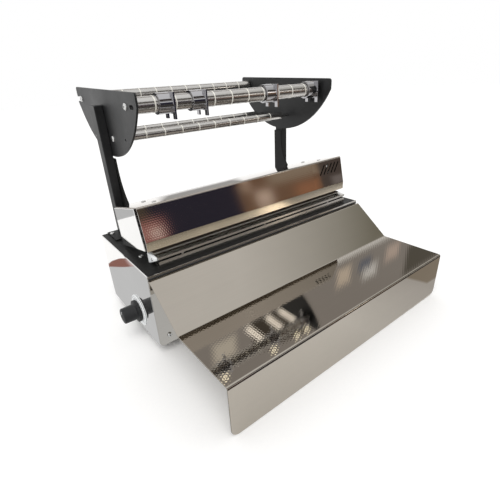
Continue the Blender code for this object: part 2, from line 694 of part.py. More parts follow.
def roll_plate(side):
    """A plate shaped as a circle segment, with holes for the axles and a notch for the rear one.

    Only the left plate has the slot and the spare hole.
    """
    middle = (PLATE_FRONT + PLATE_REAR) / 2
    half = PLATE_LENGTH / 2
    drop = PLATE_DROP - PLATE_SIDE
    radius = (half * half + drop * drop) / (2 * drop)
    center = (middle, PLATE_TOP_Z - PLATE_DROP + radius)
    spread = math.degrees(math.asin(half / radius))
    outline = arc(center, radius, 270 - spread, 270 + spread, 26)
    rear_top = PLATE_TOP_Z + PLATE_REAR_RISE
    outline += arc((PLATE_REAR - PLATE_CORNER, rear_top - PLATE_CORNER), PLATE_CORNER, 0, 90, 4)
    outline += arc((PLATE_FRONT + PLATE_CORNER, PLATE_TOP_Z - PLATE_CORNER), PLATE_CORNER, 90, 180, 4)
    ends = sorted((side * PLATE_OUTER, side * PLATE_INNER))
    plate = add(f"roll_plate_{side_name(side)}", prism(outline, *ends), BLACK, sealer)
    through = (ends[0] - GAP, ends[1] + GAP)
    for name in ("upper_front", "lower_front", "lower_rear"):
        hole = rod(*through, AXLE_RADIUS + GAP)
        bmesh.ops.translate(hole, verts=hole.verts[:], vec=(0.0, *AXLES[name]))
        combine(plate, hole, sealer)
    y, z = AXLES["upper_rear"]
    wall = AXLE_RADIUS + GAP
    notch = arc((y, z), wall, 90, 270, 8) + [(PLATE_REAR + GAP, z - wall), (PLATE_REAR + GAP, z + wall)]
    combine(plate, prism(notch, *through), sealer)
    if side > 0:
        return
    hole = rod(*through, SPARE_HOLE[2])
    place = (0.0, PLATE_FRONT + SPARE_HOLE[0], PLATE_TOP_Z - SPARE_HOLE[1])
    bmesh.ops.translate(hole, verts=hole.verts[:], vec=place)
    combine(plate, hole, sealer)
    y, z = AXLES["upper_front"]
    ahead, width, length = PLATE_SLOT
    outline = slot_outline((z, y - ahead), width, length)
    combine(plate, prism([(b, a) for a, b in outline], *through), sealer)


AXLES = {
    "upper_front": (PLATE_FRONT + FRONT_AXLE[0], PLATE_TOP_Z - FRONT_AXLE[1]),
    "upper_rear": (PLATE_REAR - REAR_AXLE[0], PLATE_TOP_Z - REAR_AXLE[1]),
    "lower_front": (PLATE_FRONT + LOW_FRONT_AXLE[0], PLATE_TOP_Z - LOW_FRONT_AXLE[1]),
    "lower_rear": (PLATE_REAR - LOW_REAR_AXLE[0], PLATE_TOP_Z - LOW_REAR_AXLE[1]),
}


def rollers():
    """Steel axles between the plates, each with a chromed tube that turns on it."""
    reach = PLATE_OUTER + AXLE_OVERHANG
    for name, (y, z) in AXLES.items():
        add(f"{name}_axle", rod(-reach, reach, AXLE_RADIUS), STEEL, sealer, (0.0, y, z))
        upper = name.startswith("upper")
        outer, inner = UPPER_TUBE if upper else LOWER_TUBE
        half = PLATE_INNER - (UPPER_TUBE_PLAY if upper else LOWER_TUBE_PLAY)
        bore = AXLE_RADIUS + GAP
        profile = [(-half, bore), (-half, outer), (half, outer), (half, bore)]
        profile += [(half - TUBE_COLLAR, bore), (half - TUBE_COLLAR, inner)]
        profile += [(TUBE_COLLAR - half, inner), (TUBE_COLLAR - half, bore)]
        add(f"{name}_tube", turned(profile), CHROME, sealer, (0.0, y, z))


def roll_stops():
    """Chromed stops that slide on the upper front tube to keep the film roll in place."""
    bore = UPPER_TUBE[0] + GAP
    sleeve_radius = bore + STOP_WALL
    half_depth = sleeve_radius + STOP_RIM
    drop = sleeve_radius + STOP_DROP
    plate = STOP_PLATE
    for k, x in enumerate(STOP_PLACES):
        place = (x, *AXLES["upper_front"])
        outline = [(-half_depth, -drop), (half_depth, -drop)]
        outline += [(half_depth, sleeve_radius), (-half_depth, sleeve_radius)]
        stop = add(f"roll_stop_{k + 1}", prism(outline, 0.0, plate), CHROME, sealer, place)
        holder = empty(f"roll_stop_{k + 1}_frame", place, 0.0, sealer)
        combine(stop, rod(-STOP_LENGTH, plate / 2, sleeve_radius, "X", ROUND), holder, "UNION")
        combine(stop, rod(-2 * STOP_LENGTH, 2 * plate, bore, "X", ROUND), holder)
        notch = block((-plate, -STOP_NOTCH, -drop - plate), (2 * plate, STOP_NOTCH, -sleeve_radius))
        combine(stop, notch, holder)


def timer():
    """Timer on the left side plate, with its dial plate, shaft and knob."""
    face = -HALF_WIDTH
    axis = empty("timer_axis", (face, KNOB_SETBACK, KNOB_Z), 0.0, sealer)
    ring = [(-GAP - DIAL_THICKNESS, BUSH_RADIUS + GAP), (-GAP - DIAL_THICKNESS, DIAL_RADIUS)]
    ring += [(-GAP, DIAL_RADIUS), (-GAP, BUSH_RADIUS + GAP)]
    add("dial_plate", turned(ring, sides=2 * ROUND), WHITE, axis)
    near = -2 * GAP - DIAL_THICKNESS
    shaft_start = -SHAFT_REACH
    bore = SHAFT_RADIUS + GAP
    add("timer_knob", knob_mesh(near, shaft_start - GAP, bore), KNOB_BLACK, axis)
    add("timer_shaft", rod(shaft_start, shaft_start + SHAFT_LENGTH, SHAFT_RADIUS), STEEL, axis)
    length, depth, height = TIMER_SIZE
    start = SHEET + GAP
    body = block((start, -depth / 2, -height / 2), (start + length, depth / 2, height / 2))
    body = add("timer_body", body, WHITE, axis)
    combine(body, rod(-DIAL_THICKNESS, start + GAP, BUSH_RADIUS), axis, "UNION")
    combine(body, rod(-KNOB_REACH, shaft_start + SHAFT_LENGTH + GAP, bore), axis)


def knob_mesh(near, bore_end, bore):
    """A round knob with a fluted skirt and a blind bore for the shaft."""
    skirt_end = near - SKIRT_LENGTH
    relief = BUSH_RADIUS + 2 * GAP
    profile = [(bore_end, 0.0), (bore_end, bore), (near - KNOB_RELIEF, bore)]
    profile += [(near - KNOB_RELIEF, relief), (near, relief)]
    profile += [(near, SKIRT_RADIUS), (skirt_end, SKIRT_RADIUS), (skirt_end, KNOB_RADIUS)]
    face_radius = KNOB_RADIUS - KNOB_DRAFT
    profile += [(-KNOB_REACH + KNOB_EDGE, face_radius), (-KNOB_REACH, face_radius - KNOB_EDGE)]
    profile += [(-KNOB_REACH, 0.0)]
    made = turned(profile, sides=2 * KNOB_FLUTES, closed=False)
    for vert in made.verts:
        radius = math.hypot(vert.co.y, vert.co.z)
        step = round(math.atan2(vert.co.z, vert.co.y) / math.tau * 2 * KNOB_FLUTES)
        if radius > SKIRT_RADIUS - FLUTE_DEPTH and step % 2:
            vert.co.y *= 1 - FLUTE_DEPTH / SKIRT_RADIUS
            vert.co.z *= 1 - FLUTE_DEPTH / SKIRT_RADIUS
    return made


def arm_switch():
    """Micro switch under the left lever, with its plunger and bracket."""
    width, depth, height = SWITCH_SIZE
    x = -(LEVER_OUTER - LEVER_THICKNESS / 2)
    y = SWITCH_SETBACK
    low = DECK_TOP + GAP
    top = low + height
    body = block((x - width / 2, y - depth / 2, low), (x + width / 2, y + depth / 2, top))
    body = add("micro_switch", body, KNOB_BLACK, sealer)
    holder = empty("switch_frame", (x, y, 0.0), 0.0, sealer)
    combine(body, rod(top - PLUNGER_DEPTH, top + GAP, PLUNGER_RADIUS + GAP, "Z"), holder)
    tip = PIVOT_Z + lever_underside(y - PIVOT_Y) + PLUNGER_TRAVEL - GAP
    start = top - PLUNGER_DEPTH + PLUNGER_TRAVEL + GAP
    add("switch_plunger", rod(start, tip, PLUNGER_RADIUS, "Z"), WHITE, sealer, (x, y, 0.0))
    side = x + width / 2 + GAP
    plate = SHEET
    outline = [(side, low), (side + BRACKET_FOOT, low), (side + BRACKET_FOOT, low + plate)]
    outline += [(side + plate, low + plate), (side + plate, top), (side, top)]
    add("switch_bracket", prism(outline, y - depth / 2, y + depth / 2, "Y"), BRUSHED, sealer)


def lever_underside(y):
    """Height above the hinge of the lever's lower edge at y, with the arm closed."""
    drop = LEVER_NECK_DROP / math.cos(CLOSED_TILT)
    return -(y + PLUNGER_RADIUS) * math.tan(CLOSED_TILT) - drop


def electrics():
    """Transformer, control board and cord gland inside the base."""
    width, depth, height = CORE_SIZE
    floor = CASE_FLOOR + GAP
    middle = (*TRANSFORMER_PLACE, floor)
    core = block((-width / 2, -depth / 2, 0.0), (width / 2, depth / 2, height))
    core = add("transformer_core", core, STEEL, sealer, middle)
    holder = empty("transformer_frame", middle, 0.0, sealer)
    window = (width - CORE_LEG) / 2 - CORE_YOKE
    for side in SIDES:
        ends = sorted((side * CORE_LEG / 2, side * (CORE_LEG / 2 + window)))
        tool = block((ends[0], -depth, CORE_YOKE), (ends[1], depth, height - CORE_YOKE))
        combine(core, tool, holder)
    inner = (CORE_LEG / 2 + GAP, depth / 2 + GAP)
    outer = tuple(a + WINDING_THICKNESS for a in inner)
    low = CORE_YOKE + GAP
    high = height - CORE_YOKE - GAP
    winding = block((-outer[0], -outer[1], low), (outer[0], outer[1], high))
    winding = add("transformer_winding", winding, COPPER, sealer, middle)
    combine(winding, block((-inner[0], -inner[1], 0.0), (inner[0], inner[1], height)), holder)
    control_board(floor)
    gland()


def control_board(floor):
    """Timer and triac board on four stand-offs, with a relay and a heat sink."""
    width, depth, thickness = BOARD_SIZE
    middle = (*BOARD_PLACE, floor)
    board = block((-width / 2, -depth / 2, BOARD_RISE), (width / 2, depth / 2, BOARD_RISE + thickness))
    board = add("control_board", board, BOARD, sealer, middle)
    holder = empty("board_frame", middle, 0.0, sealer)
    top = BOARD_RISE + thickness / 2
    for sx in SIDES:
        for sy in SIDES:
            leg = rod(0.0, top, BOARD_LEG_RADIUS, "Z", LEG_SIDES)
            spot = (sx * (width / 2 - BOARD_LEG_INSET), sy * (depth / 2 - BOARD_LEG_INSET), 0.0)
            bmesh.ops.translate(leg, verts=leg.verts[:], vec=spot)
            combine(board, leg, holder, "UNION")
    for (x, y), (length, breadth, height) in BOARD_PARTS:
        combine(board, block((x, y, top), (x + length, y + breadth, top + height)), holder, "UNION")


def gland():
    """Cord gland through the back panel, and its nut."""
    place = (GLAND_PLACE[0], BASE_DEPTH, FOOT_HEIGHT + GLAND_PLACE[1])
    inside = -SHEET - GAP
    ring = [(-GLAND_LENGTH, GLAND_BORE), (-GLAND_LENGTH, GLAND_THREAD)]
    ring += [(GAP, GLAND_THREAD), (GAP, GLAND_FLANGE), (GLAND_RIM, GLAND_FLANGE)]
    ring += [(GLAND_LENGTH, GLAND_NOSE), (GLAND_LENGTH, GLAND_BORE)]
    add("cord_gland", turned(ring, "Y"), KNOB_BLACK, sealer, place)
    wall = GLAND_THREAD + GAP
    solid = rod(inside - NUT_THICKNESS, inside, wall + NUT_WALL, "Y", HEXAGON)
    made = add("gland_nut", solid, KNOB_BLACK, sealer, place)
    holder = empty("gland_frame", place, 0.0, sealer)
    combine(made, rod(inside - 2 * NUT_THICKNESS, inside + NUT_THICKNESS, wall, "Y", ROUND), holder)


base_case()
work_tray()
feet()
case_screws()
lower_jaw()
arm()
hinge()
stand()
rollers()
roll_stops()
timer()
arm_switch()
electrics()
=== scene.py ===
"""Looks of the impulse heat sealer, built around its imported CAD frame, in metres."""
import json
import math

import bmesh
import bpy
from mathutils import Matrix, Vector

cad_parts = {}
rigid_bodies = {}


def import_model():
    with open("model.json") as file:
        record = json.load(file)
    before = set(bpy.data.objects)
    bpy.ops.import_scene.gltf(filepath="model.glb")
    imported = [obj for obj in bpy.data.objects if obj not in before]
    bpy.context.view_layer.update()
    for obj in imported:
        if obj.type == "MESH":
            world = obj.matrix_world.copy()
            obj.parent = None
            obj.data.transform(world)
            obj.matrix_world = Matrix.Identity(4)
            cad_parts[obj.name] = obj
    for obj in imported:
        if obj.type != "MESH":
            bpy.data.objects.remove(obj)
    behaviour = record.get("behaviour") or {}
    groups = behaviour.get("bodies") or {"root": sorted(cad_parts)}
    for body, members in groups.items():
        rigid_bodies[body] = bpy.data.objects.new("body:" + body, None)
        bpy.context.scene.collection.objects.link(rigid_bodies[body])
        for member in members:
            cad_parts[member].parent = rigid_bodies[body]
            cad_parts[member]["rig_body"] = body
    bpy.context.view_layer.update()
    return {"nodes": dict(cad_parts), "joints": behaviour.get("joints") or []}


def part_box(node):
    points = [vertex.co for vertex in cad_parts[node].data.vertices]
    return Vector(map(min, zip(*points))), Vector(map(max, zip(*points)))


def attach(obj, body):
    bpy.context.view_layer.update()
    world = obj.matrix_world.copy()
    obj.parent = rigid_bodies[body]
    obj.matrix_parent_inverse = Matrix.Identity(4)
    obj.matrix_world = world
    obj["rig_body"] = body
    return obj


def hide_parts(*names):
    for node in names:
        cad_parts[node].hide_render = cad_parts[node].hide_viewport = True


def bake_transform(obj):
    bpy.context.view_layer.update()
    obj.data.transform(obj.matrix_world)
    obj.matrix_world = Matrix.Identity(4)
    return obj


for leftover in list(bpy.data.objects):
    bpy.data.objects.remove(leftover, do_unlink=True)
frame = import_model()
NODES = frame["nodes"]
JOINTS = {joint["name"]: joint for joint in frame["joints"]}
SIDES = ("left", "right")

# Camera of the photograph: lens and sensor in millimetres, place, and angles in degrees
LENS = 25.74
SENSOR = 36.0
CAMERA_PLACE = (-0.3104, -0.4251, 0.3342)
CAMERA_AZIMUTH = -36.86
CAMERA_ELEVATION = 26.37
CAMERA_ROLL = -2.908

# Pressing arm
ARM_TILT = math.radians(13.3)
ARM_SHEET = 0.0012
ARM_BEND = 0.0022
ARM_STRIP = 0.012
ARM_BACK_DROP = 0.0255
VENT_COUNT = 5
VENT_PITCH = 0.0088
VENT_WIDTH = 0.0024
VENT_LENGTH = 0.017
VENT_LEAN = 0.012
VENT_MARGIN = 0.0135
VENT_DROP = 0.35
EMBOSS_PITCH = 0.0032
EMBOSS_ROW = 0.866 * EMBOSS_PITCH
EMBOSS_RADIUS = 0.0015
EMBOSS_DEPTH = 0.000022
EMBOSS_STEP = 0.00053

# Pressed relief of the tray's sheet, and the wave node's scale for one wave in a metre
RELIEF_PITCH = 0.0030
WAVE_SCALE = math.tau / 20

# Jaw bar: its front slot (low, high, depth), the bridges across it, and the chambers of its ends
# (front, back, bottom, top), measured from the bar's lowest corner
JAW_SLOT = (0.0084, 0.0110, 0.0034)
JAW_BRIDGE = 0.0034
JAW_BRIDGES = (-0.1319, 0.0072, 0.1472)
JAW_CHAMBERS = (
    (0.0020, 0.0095, 0.0016, 0.0066),
    (0.0060, 0.0122, 0.0080, 0.0124),
    (0.0142, 0.0292, 0.0018, 0.0122),
)

# Roller tubes with their bands and bushes, and the stops on one of them
RING_PITCH = 0.0288
RING_WIDTH = 0.0018
RING_RELIEF = 0.00030
RING_CROWN = 0.0001
RING_SEAT = 0.00002
TUBE_WALL = 0.0015
TUBE_CHAMFER = 0.0006
TUBE_SIDES = 48
BUSH_REACH = 0.008
BUSH_SIDES = 36
BUSH_PLAY = 0.0002
STOP_COUNT = 4

# Knob: grip, skirt, the hole in its foot (radius, depth), and flutes as deep as a share of the radius
GRIP_RADIUS = 0.011
GRIP_ROUND = 0.0011
SKIRT_LENGTH = 0.0052
KNOB_HOLE = (0.0056, 0.002)
FLUTES = 28
FLUTE_STEPS = 8
FLUTE_DEPTH = 0.035
FLUTE_SHAPE = 0.6
POINTER_WIDTH = 0.0012

# Dial: numbered marks with short ones between, as (length, half width), and the numbers
DIAL_MARKS = 11
DIAL_SPLIT = 4
DIAL_SWEEP = 270.0
DIAL_RIM = 0.0012
LONG_MARK = (0.0022, 0.00022)
SHORT_MARK = (0.0012, 0.00014)
MARK_RELIEF = 0.00008
NUMBER_INSET = 0.0052
NUMBER_SIZE = 0.0030
NUMBER_RELIEF = 0.00004

# Fasteners, with the first head's turn and the step to the next one
SCREW_RADIUS = 0.0033
SCREW_HEIGHT = 0.0019
SCREW_SIDES = 24
SCREW_TURN = 0.3
SCREW_TURN_STEP = 0.7

# Rounded edges, from the finest to the softest
FILM_EDGE = 0.0001
CLOTH_EDGE = 0.00015
BOARD_EDGE = 0.0002
SHEET_EDGE = 0.0003
PLATE_EDGE = 0.0004
EASED_EDGE = 0.0005
BAR_EDGE = 0.0006
SOFT_EDGE = 0.0008
PAD_EDGE = 0.0012
WINDING_EDGE = 0.0015

# Planes of the studio cards in front and behind
FRONT_WALL = -1.5
BACK_WALL = 1.2

# Soft sun and the part of the world's light that matt surfaces get
SUN_ENERGY = 1.35
SUN_ANGLE = math.radians(50)
SUN_COLOR = (1.0, 0.985, 0.965)
SUN_AIM = (0.45, 0.50, -1.15)
WORLD_LIGHT = 0.82

# Mesh limits: sharp edges of pieces and of wire, edges to round, faces in one plane, the normal's part
# that makes a face look one way, and a length that counts as nothing
SMOOTH_ANGLE = math.radians(38)
WIRE_ANGLE = math.radians(75)
ROUND_ANGLE = math.radians(40)
FLAT_ANGLE = math.radians(1)
FACING = 0.9
TINY = 1e-6


# Node helpers for materials


class Shading:
    """A material's node tree, with short calls for the nodes that the finishes use."""

    def __init__(self, name):
        self.material = bpy.data.materials.new(name)
        self.material.use_nodes = True
        self.tree = self.material.node_tree
        self.shader = self.tree.nodes["Principled BSDF"]
        self.place = self.tree.nodes.new("ShaderNodeTexCoord").outputs["Object"]

    def feed(self, socket, value):
        """Links another node's output to a socket, or sets the socket's own value."""
        if isinstance(value, bpy.types.NodeSocket):
            self.tree.links.new(value, socket)
        elif socket.type == "RGBA":
            socket.default_value = (*value, 1.0)
        else:
            socket.default_value = value

    def node(self, kind, **inputs):
        made = self.tree.nodes.new(kind)
        for name, value in inputs.items():
            self.feed(made.inputs[name.replace("_", " ")], value)
        return made

    def stretched(self, scale, turn=(0.0, 0.0, 0.0)):
        made = self.node("ShaderNodeMapping", Vector=self.place, Scale=scale, Rotation=turn)
        return made.outputs["Vector"]

    def noise(self, scale, detail=4.0, rough=0.55, vector=None):
        made = self.node("ShaderNodeTexNoise", Scale=scale, Detail=detail, Roughness=rough)
        self.feed(made.inputs["Vector"], vector or self.place)
        return made.outputs["Fac"]

    def wave(self, scale, vector=None, distortion=0.0, direction="X"):
        made = self.node("ShaderNodeTexWave", Scale=scale, Distortion=distortion)
        self.feed(made.inputs["Vector"], vector or self.place)
        made.bands_direction = direction
        return made.outputs["Fac"]

    def span(self, factor, low, high, start=0.3, end=0.7):
        limits = {"From_Min": start, "From_Max": end, "To_Min": low, "To_Max": high}
        return self.node("ShaderNodeMapRange", Value=factor, **limits).outputs["Result"]

    def blend(self, factor, first, second):
        made = self.tree.nodes.new("ShaderNodeMix")
        made.data_type = "RGBA"
        self.tree.links.new(factor, made.inputs["Factor"])
        for name, value in (("A", first), ("B", second)):
            self.feed(next(s for s in made.inputs if s.name == name and s.type == "RGBA"), value)
        return next(s for s in made.outputs if s.type == "RGBA")

    def math(self, kind, first, second):
        made = self.tree.nodes.new("ShaderNodeMath")
        made.operation = kind
        for socket, value in zip(made.inputs, (first, second)):
            self.feed(socket, value)
        return made.outputs["Value"]

    def honeycomb(self, pitch):
        """Three crossed waves in the XY plane, on faces that look up."""
        total = 0.0
        for k in range(3):
            turned = self.stretched((1.0, 1.0, 1.0), (0.0, 0.0, math.radians(60 * k)))
            total = self.math("ADD", total, self.wave(WAVE_SCALE / pitch, turned))
        facing = self.tree.nodes.new("ShaderNodeNewGeometry").outputs["Normal"]
        rise = self.node("ShaderNodeSeparateXYZ", Vector=facing).outputs["Z"]
        return self.math("MULTIPLY", total, self.span(rise, 0.0, 1.0, 0.3, 0.6))

    def bump(self, height, distance, strength=1.0, under=None):
        made = self.node("ShaderNodeBump", Height=height, Strength=strength, Distance=distance)
        if under is not None:
            self.tree.links.new(under, made.inputs["Normal"])
        return made.outputs["Normal"]

    def set(self, **values):
        for name, value in values.items():
            self.feed(self.shader.inputs[name.replace("_", " ")], value)
        return self.material


def shifted(color, amount):
    """A colour made lighter or darker."""
    return tuple(min(1.0, c * amount) for c in color)


def sheet_steel(name, color, rough, grain=(3.0, 520.0, 520.0), sway=0.0007, relief=0.0):
    """Polished stainless sheet: faint grain, cloudy polish, a slight sway and maybe a pressed relief."""
    s = Shading(name)
    grain_lines = s.noise(1.0, 3.0, 0.6, s.stretched(grain))
    clouds = s.noise(9.0, 5.0, 0.6)
    smears = s.noise(60.0, 6.0, 0.7)
    tone = s.blend(s.span(grain_lines, 0.0, 1.0), shifted(color, 0.985), shifted(color, 1.015))
    color_out = s.blend(s.span(clouds, 0.0, 0.5), tone, shifted(color, 0.91))
    smeared = s.span(smears, 0.0, 0.5 * rough, 0.55, 0.8)
    roughness = s.math("ADD", s.span(clouds, rough * 0.7, rough * 1.2), smeared)
    normal = s.bump(s.noise(5.0, 1.0, 0.4), sway)
    if relief:
        normal = s.bump(s.honeycomb(RELIEF_PITCH), relief, 1.0, normal)
    normal = s.bump(grain_lines, 0.000002, 1.0, normal)
    return s.set(Base_Color=color_out, Metallic=1.0, Roughness=roughness, Normal=normal)


def satin(name, color, rough, metal):
    """Fine-ground metal that scatters the light of the room."""
    s = Shading(name)
    lines = s.noise(1.0, 5.0, 0.6, s.stretched((2.5, 420.0, 420.0)))
    patches = s.noise(7.0, 3.0, 0.5)
    tone = s.blend(s.span(lines, 0.0, 1.0), shifted(color, 0.95), shifted(color, 1.05))
    tone = s.blend(s.span(patches, 0.0, 0.5), tone, shifted(color, 0.86))
    normal = s.bump(lines, 0.000008)
    rough_out = s.span(patches, rough * 0.8, rough * 1.2)
    return s.set(Base_Color=tone, Metallic=metal, Roughness=rough_out, Normal=normal)


def brushed_steel(name, color, rough, grain=(4.0, 700.0, 700.0)):
    """Brushed metal with clear lines along its grain."""
    s = Shading(name)
    lines = s.noise(1.0, 6.0, 0.7, s.stretched(grain))
    clouds = s.noise(22.0, 4.0)
    tone = s.blend(s.span(lines, 0.0, 1.0), shifted(color, 0.84), shifted(color, 1.10))
    tone = s.blend(s.span(clouds, 0.0, 0.3), tone, shifted(color, 0.85))
    normal = s.bump(lines, 0.00002)
    rough_out = s.span(lines, rough * 0.8, rough * 1.25)
    return s.set(Base_Color=tone, Metallic=1.0, Roughness=rough_out, Normal=normal)


def coated_black(name, color, rough, sheen):
    """Semi-gloss powder coat with fine orange peel and a trace of dust."""
    s = Shading(name)
    peel = s.noise(900.0, 2.0, 0.5)
    clouds = s.noise(16.0, 5.0, 0.62)
    tone = s.blend(s.span(clouds, 0.0, 1.0), color, shifted(color, 1.55))
    normal = s.bump(peel, 0.000035, 0.8)
    rough_out = s.span(clouds, rough * 0.85, rough * 1.2)
    return s.set(Base_Color=tone, Roughness=rough_out, Specular_IOR_Level=sheen, Normal=normal)


def moulded(name, color, rough, texture=0.00002, change=1.12):
    """Moulded plastic or rubber with a fine spark texture."""
    s = Shading(name)
    spark = s.noise(1500.0, 2.0, 0.5)
    clouds = s.noise(40.0, 4.0)
    tone = s.blend(s.span(clouds, 0.0, 1.0), shifted(color, 1.0 / change), shifted(color, change))
    normal = s.bump(spark, texture)
    return s.set(Base_Color=tone, Roughness=s.span(clouds, rough * 0.85, rough * 1.15), Normal=normal)


def woven(name, warp_color, weft_color, thread, rough):
    """Coated glass cloth: crossed waves, each about two threads wide, under a smooth film."""
    s = Shading(name)
    scale = 1.0 / (math.tau * thread)
    warp = s.wave(scale, direction="X")
    weft = s.wave(scale, direction="Y")
    crossing = s.math("MULTIPLY", warp, weft)
    stains = s.noise(18.0, 5.0, 0.6)
    tone = s.blend(s.span(crossing, 0.0, 1.0, 0.1, 0.6), warp_color, weft_color)
    tone = s.blend(s.span(stains, 0.0, 0.6), tone, shifted(warp_color, 0.6))
    normal = s.bump(crossing, 0.00006)
    rough_out = s.span(stains, rough * 0.8, rough * 1.2)
    return s.set(Base_Color=tone, Roughness=rough_out, Specular_IOR_Level=0.15, Normal=normal)


def wound_copper(name):
    """Lacquered wire laid in close turns."""
    s = Shading(name)
    turns = s.wave(260.0, direction="Z", distortion=0.6)
    tone = s.blend(turns, (0.16, 0.045, 0.012), (0.62, 0.24, 0.07))
    normal = s.bump(turns, 0.0003)
    rough = s.span(s.noise(60.0), 0.24, 0.42)
    return s.set(Base_Color=tone, Metallic=1.0, Roughness=rough, Normal=normal)


def circuit_green(name):
    """Solder mask with tracks and pads."""
    s = Shading(name)
    cells = s.node("ShaderNodeTexVoronoi", Vector=s.place, Scale=190.0).outputs["Distance"]
    tracks = s.wave(70.0, direction="Y", distortion=3.0)
    board = s.blend(s.span(tracks, 0.0, 1.0, 0.45, 0.55), (0.012, 0.10, 0.045), (0.025, 0.19, 0.085))
    tone = s.blend(s.span(cells, 1.0, 0.0, 0.05, 0.12), board, (0.55, 0.52, 0.45))
    rough = s.span(s.noise(90.0), 0.28, 0.45)
    return s.set(Base_Color=tone, Roughness=rough, Normal=s.bump(tracks, 0.00004))


def laminated_steel(name):
    """Stacked core laminations with a thin varnish."""
    s = Shading(name)
    layers = s.wave(330.0, direction="Y", distortion=0.3)
    tone = s.blend(layers, (0.10, 0.095, 0.09), (0.34, 0.32, 0.30))
    rough = s.span(s.noise(30.0), 0.32, 0.5)
    return s.set(Base_Color=tone, Metallic=0.8, Roughness=rough, Normal=s.bump(layers, 0.0001))


TRAY_STEEL = sheet_steel("tray_steel", (0.43, 0.395, 0.345), 0.020, relief=0.0000042)
# Polished stainless whose base colour is raised above the other stainless parts, partly a painted highlight
SIDE_STEEL = sheet_steel("side_steel", (0.87, 0.865, 0.855), 0.05, (520.0, 3.0, 520.0))
FRONT_STEEL = sheet_steel("front_steel", (0.62, 0.60, 0.57), 0.09)
ARM_STEEL = sheet_steel("arm_steel", (0.52, 0.475, 0.43), 0.06)
# The same raised base colour on the arm's caps, partly a painted highlight
CAP_STEEL = sheet_steel("cap_steel", (0.84, 0.835, 0.825), 0.05, (520.0, 3.0, 520.0))
TUBE_STEEL = sheet_steel("tube_steel", (0.57, 0.555, 0.535), 0.24, sway=0.0004)
STOP_STEEL = sheet_steel("stop_steel", (0.46, 0.455, 0.47), 0.10)
PLAIN_STEEL = brushed_steel("plain_steel", (0.50, 0.48, 0.45), 0.30)
# Painted shade: near-black steel for the inner sides of the arm's caps and levers
INNER_SHADE_STEEL = satin("inner_painted_shade", (0.085, 0.082, 0.080), 0.60, 0.8)
BRIGHT_STEEL = brushed_steel("bright_steel", (0.68, 0.68, 0.67), 0.16, (500.0, 500.0, 4.0))
JAW_METAL = brushed_steel("jaw_metal", (0.64, 0.62, 0.59), 0.18)
# Painted highlight: a brighter, warmer copy of the arm's sheet, used for the cover's lower strip
STRIP_HIGHLIGHT_STEEL = satin("strip_painted_highlight", (0.97, 0.87, 0.71), 0.17, 1.0)
RING_METAL = satin("ring_metal", (0.86, 0.84, 0.77), 0.26, 0.35)
BLACK_COAT = coated_black("black_coat", (0.0095, 0.0098, 0.0102), 0.42, 0.38)
DECK_COAT = coated_black("deck_coat", (0.007, 0.007, 0.0068), 0.5, 0.22)
# Black rubber of the feet, also used for the painted shadow strip in the tray's seam
RUBBER_AND_SEAM_SHADOW = moulded("foot_rubber_and_seam_shadow", (0.024, 0.024, 0.025), 0.72, 0.00005)
SILICONE = moulded("pad_silicone", (0.72, 0.73, 0.67), 0.50)
CLOTH = woven("coated_cloth", (0.070, 0.050, 0.036), (0.105, 0.078, 0.058), 0.0011, 0.38)
INSULATION = woven("glass_insulation", (0.62, 0.60, 0.55), (0.75, 0.73, 0.68), 0.0009, 0.60)
WHITE_PLASTIC = moulded("white_plastic", (0.88, 0.90, 0.91), 0.38, change=1.03)
# Black moulded plastic of the knob, switch and gland, also used as painted shade inside the jaw's slot
BLACK_PLASTIC_AND_SLOT_SHADE = moulded("black_plastic_and_slot_shade", (0.0075, 0.0080, 0.0090), 0.46, 0.00003)
PRINT = moulded("dial_print", (0.030, 0.031, 0.034), 0.50)
COPPER = wound_copper("winding_copper")
BOARD = circuit_green("board_green")
CORE = laminated_steel("core_steel")


# Mesh helpers


def piece(name, data, look, body, replaces=(), bevel=0.0, sharp=SMOOTH_ANGLE):
    """A finished piece from a bmesh: smooth shading, optional rounded edges, and its place in the frame."""
    bmesh.ops.recalc_face_normals(data, faces=data.faces[:])
    mesh = bpy.data.meshes.new(name)
    data.to_mesh(mesh)
    data.free()
    mesh.materials.append(look)
    mesh.shade_smooth()
    mesh.set_sharp_from_angle(angle=sharp)
    made = bpy.data.objects.new(name, mesh)
    bpy.context.scene.collection.objects.link(made)
    if bevel:
        edges = made.modifiers.new("Edges", "BEVEL")
        edges.width = bevel
        edges.segments = 2
        edges.limit_method = "ANGLE"
        edges.angle_limit = ROUND_ANGLE
        edges.harden_normals = True
        weight = made.modifiers.new("Normals", "WEIGHTED_NORMAL")
        weight.keep_sharp = True
    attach(made, body)
    if replaces:
        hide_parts(*replaces)
    return made


def cad_mesh(node):
    """A CAD node's mesh with its triangles merged back into whole faces."""
    data = bmesh.new()
    data.from_mesh(NODES[node].data)
    bmesh.ops.remove_doubles(data, verts=data.verts[:], dist=TINY)
    bmesh.ops.dissolve_limit(data, angle_limit=FLAT_ANGLE, verts=data.verts[:], edges=data.edges[:])
    return data


def finished(node, look, bevel):
    """A CAD node with rounded edges and its finish."""
    body = NODES[node]["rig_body"]
    return piece(f"{node}_finished", cad_mesh(node), look, body, (node,), bevel)


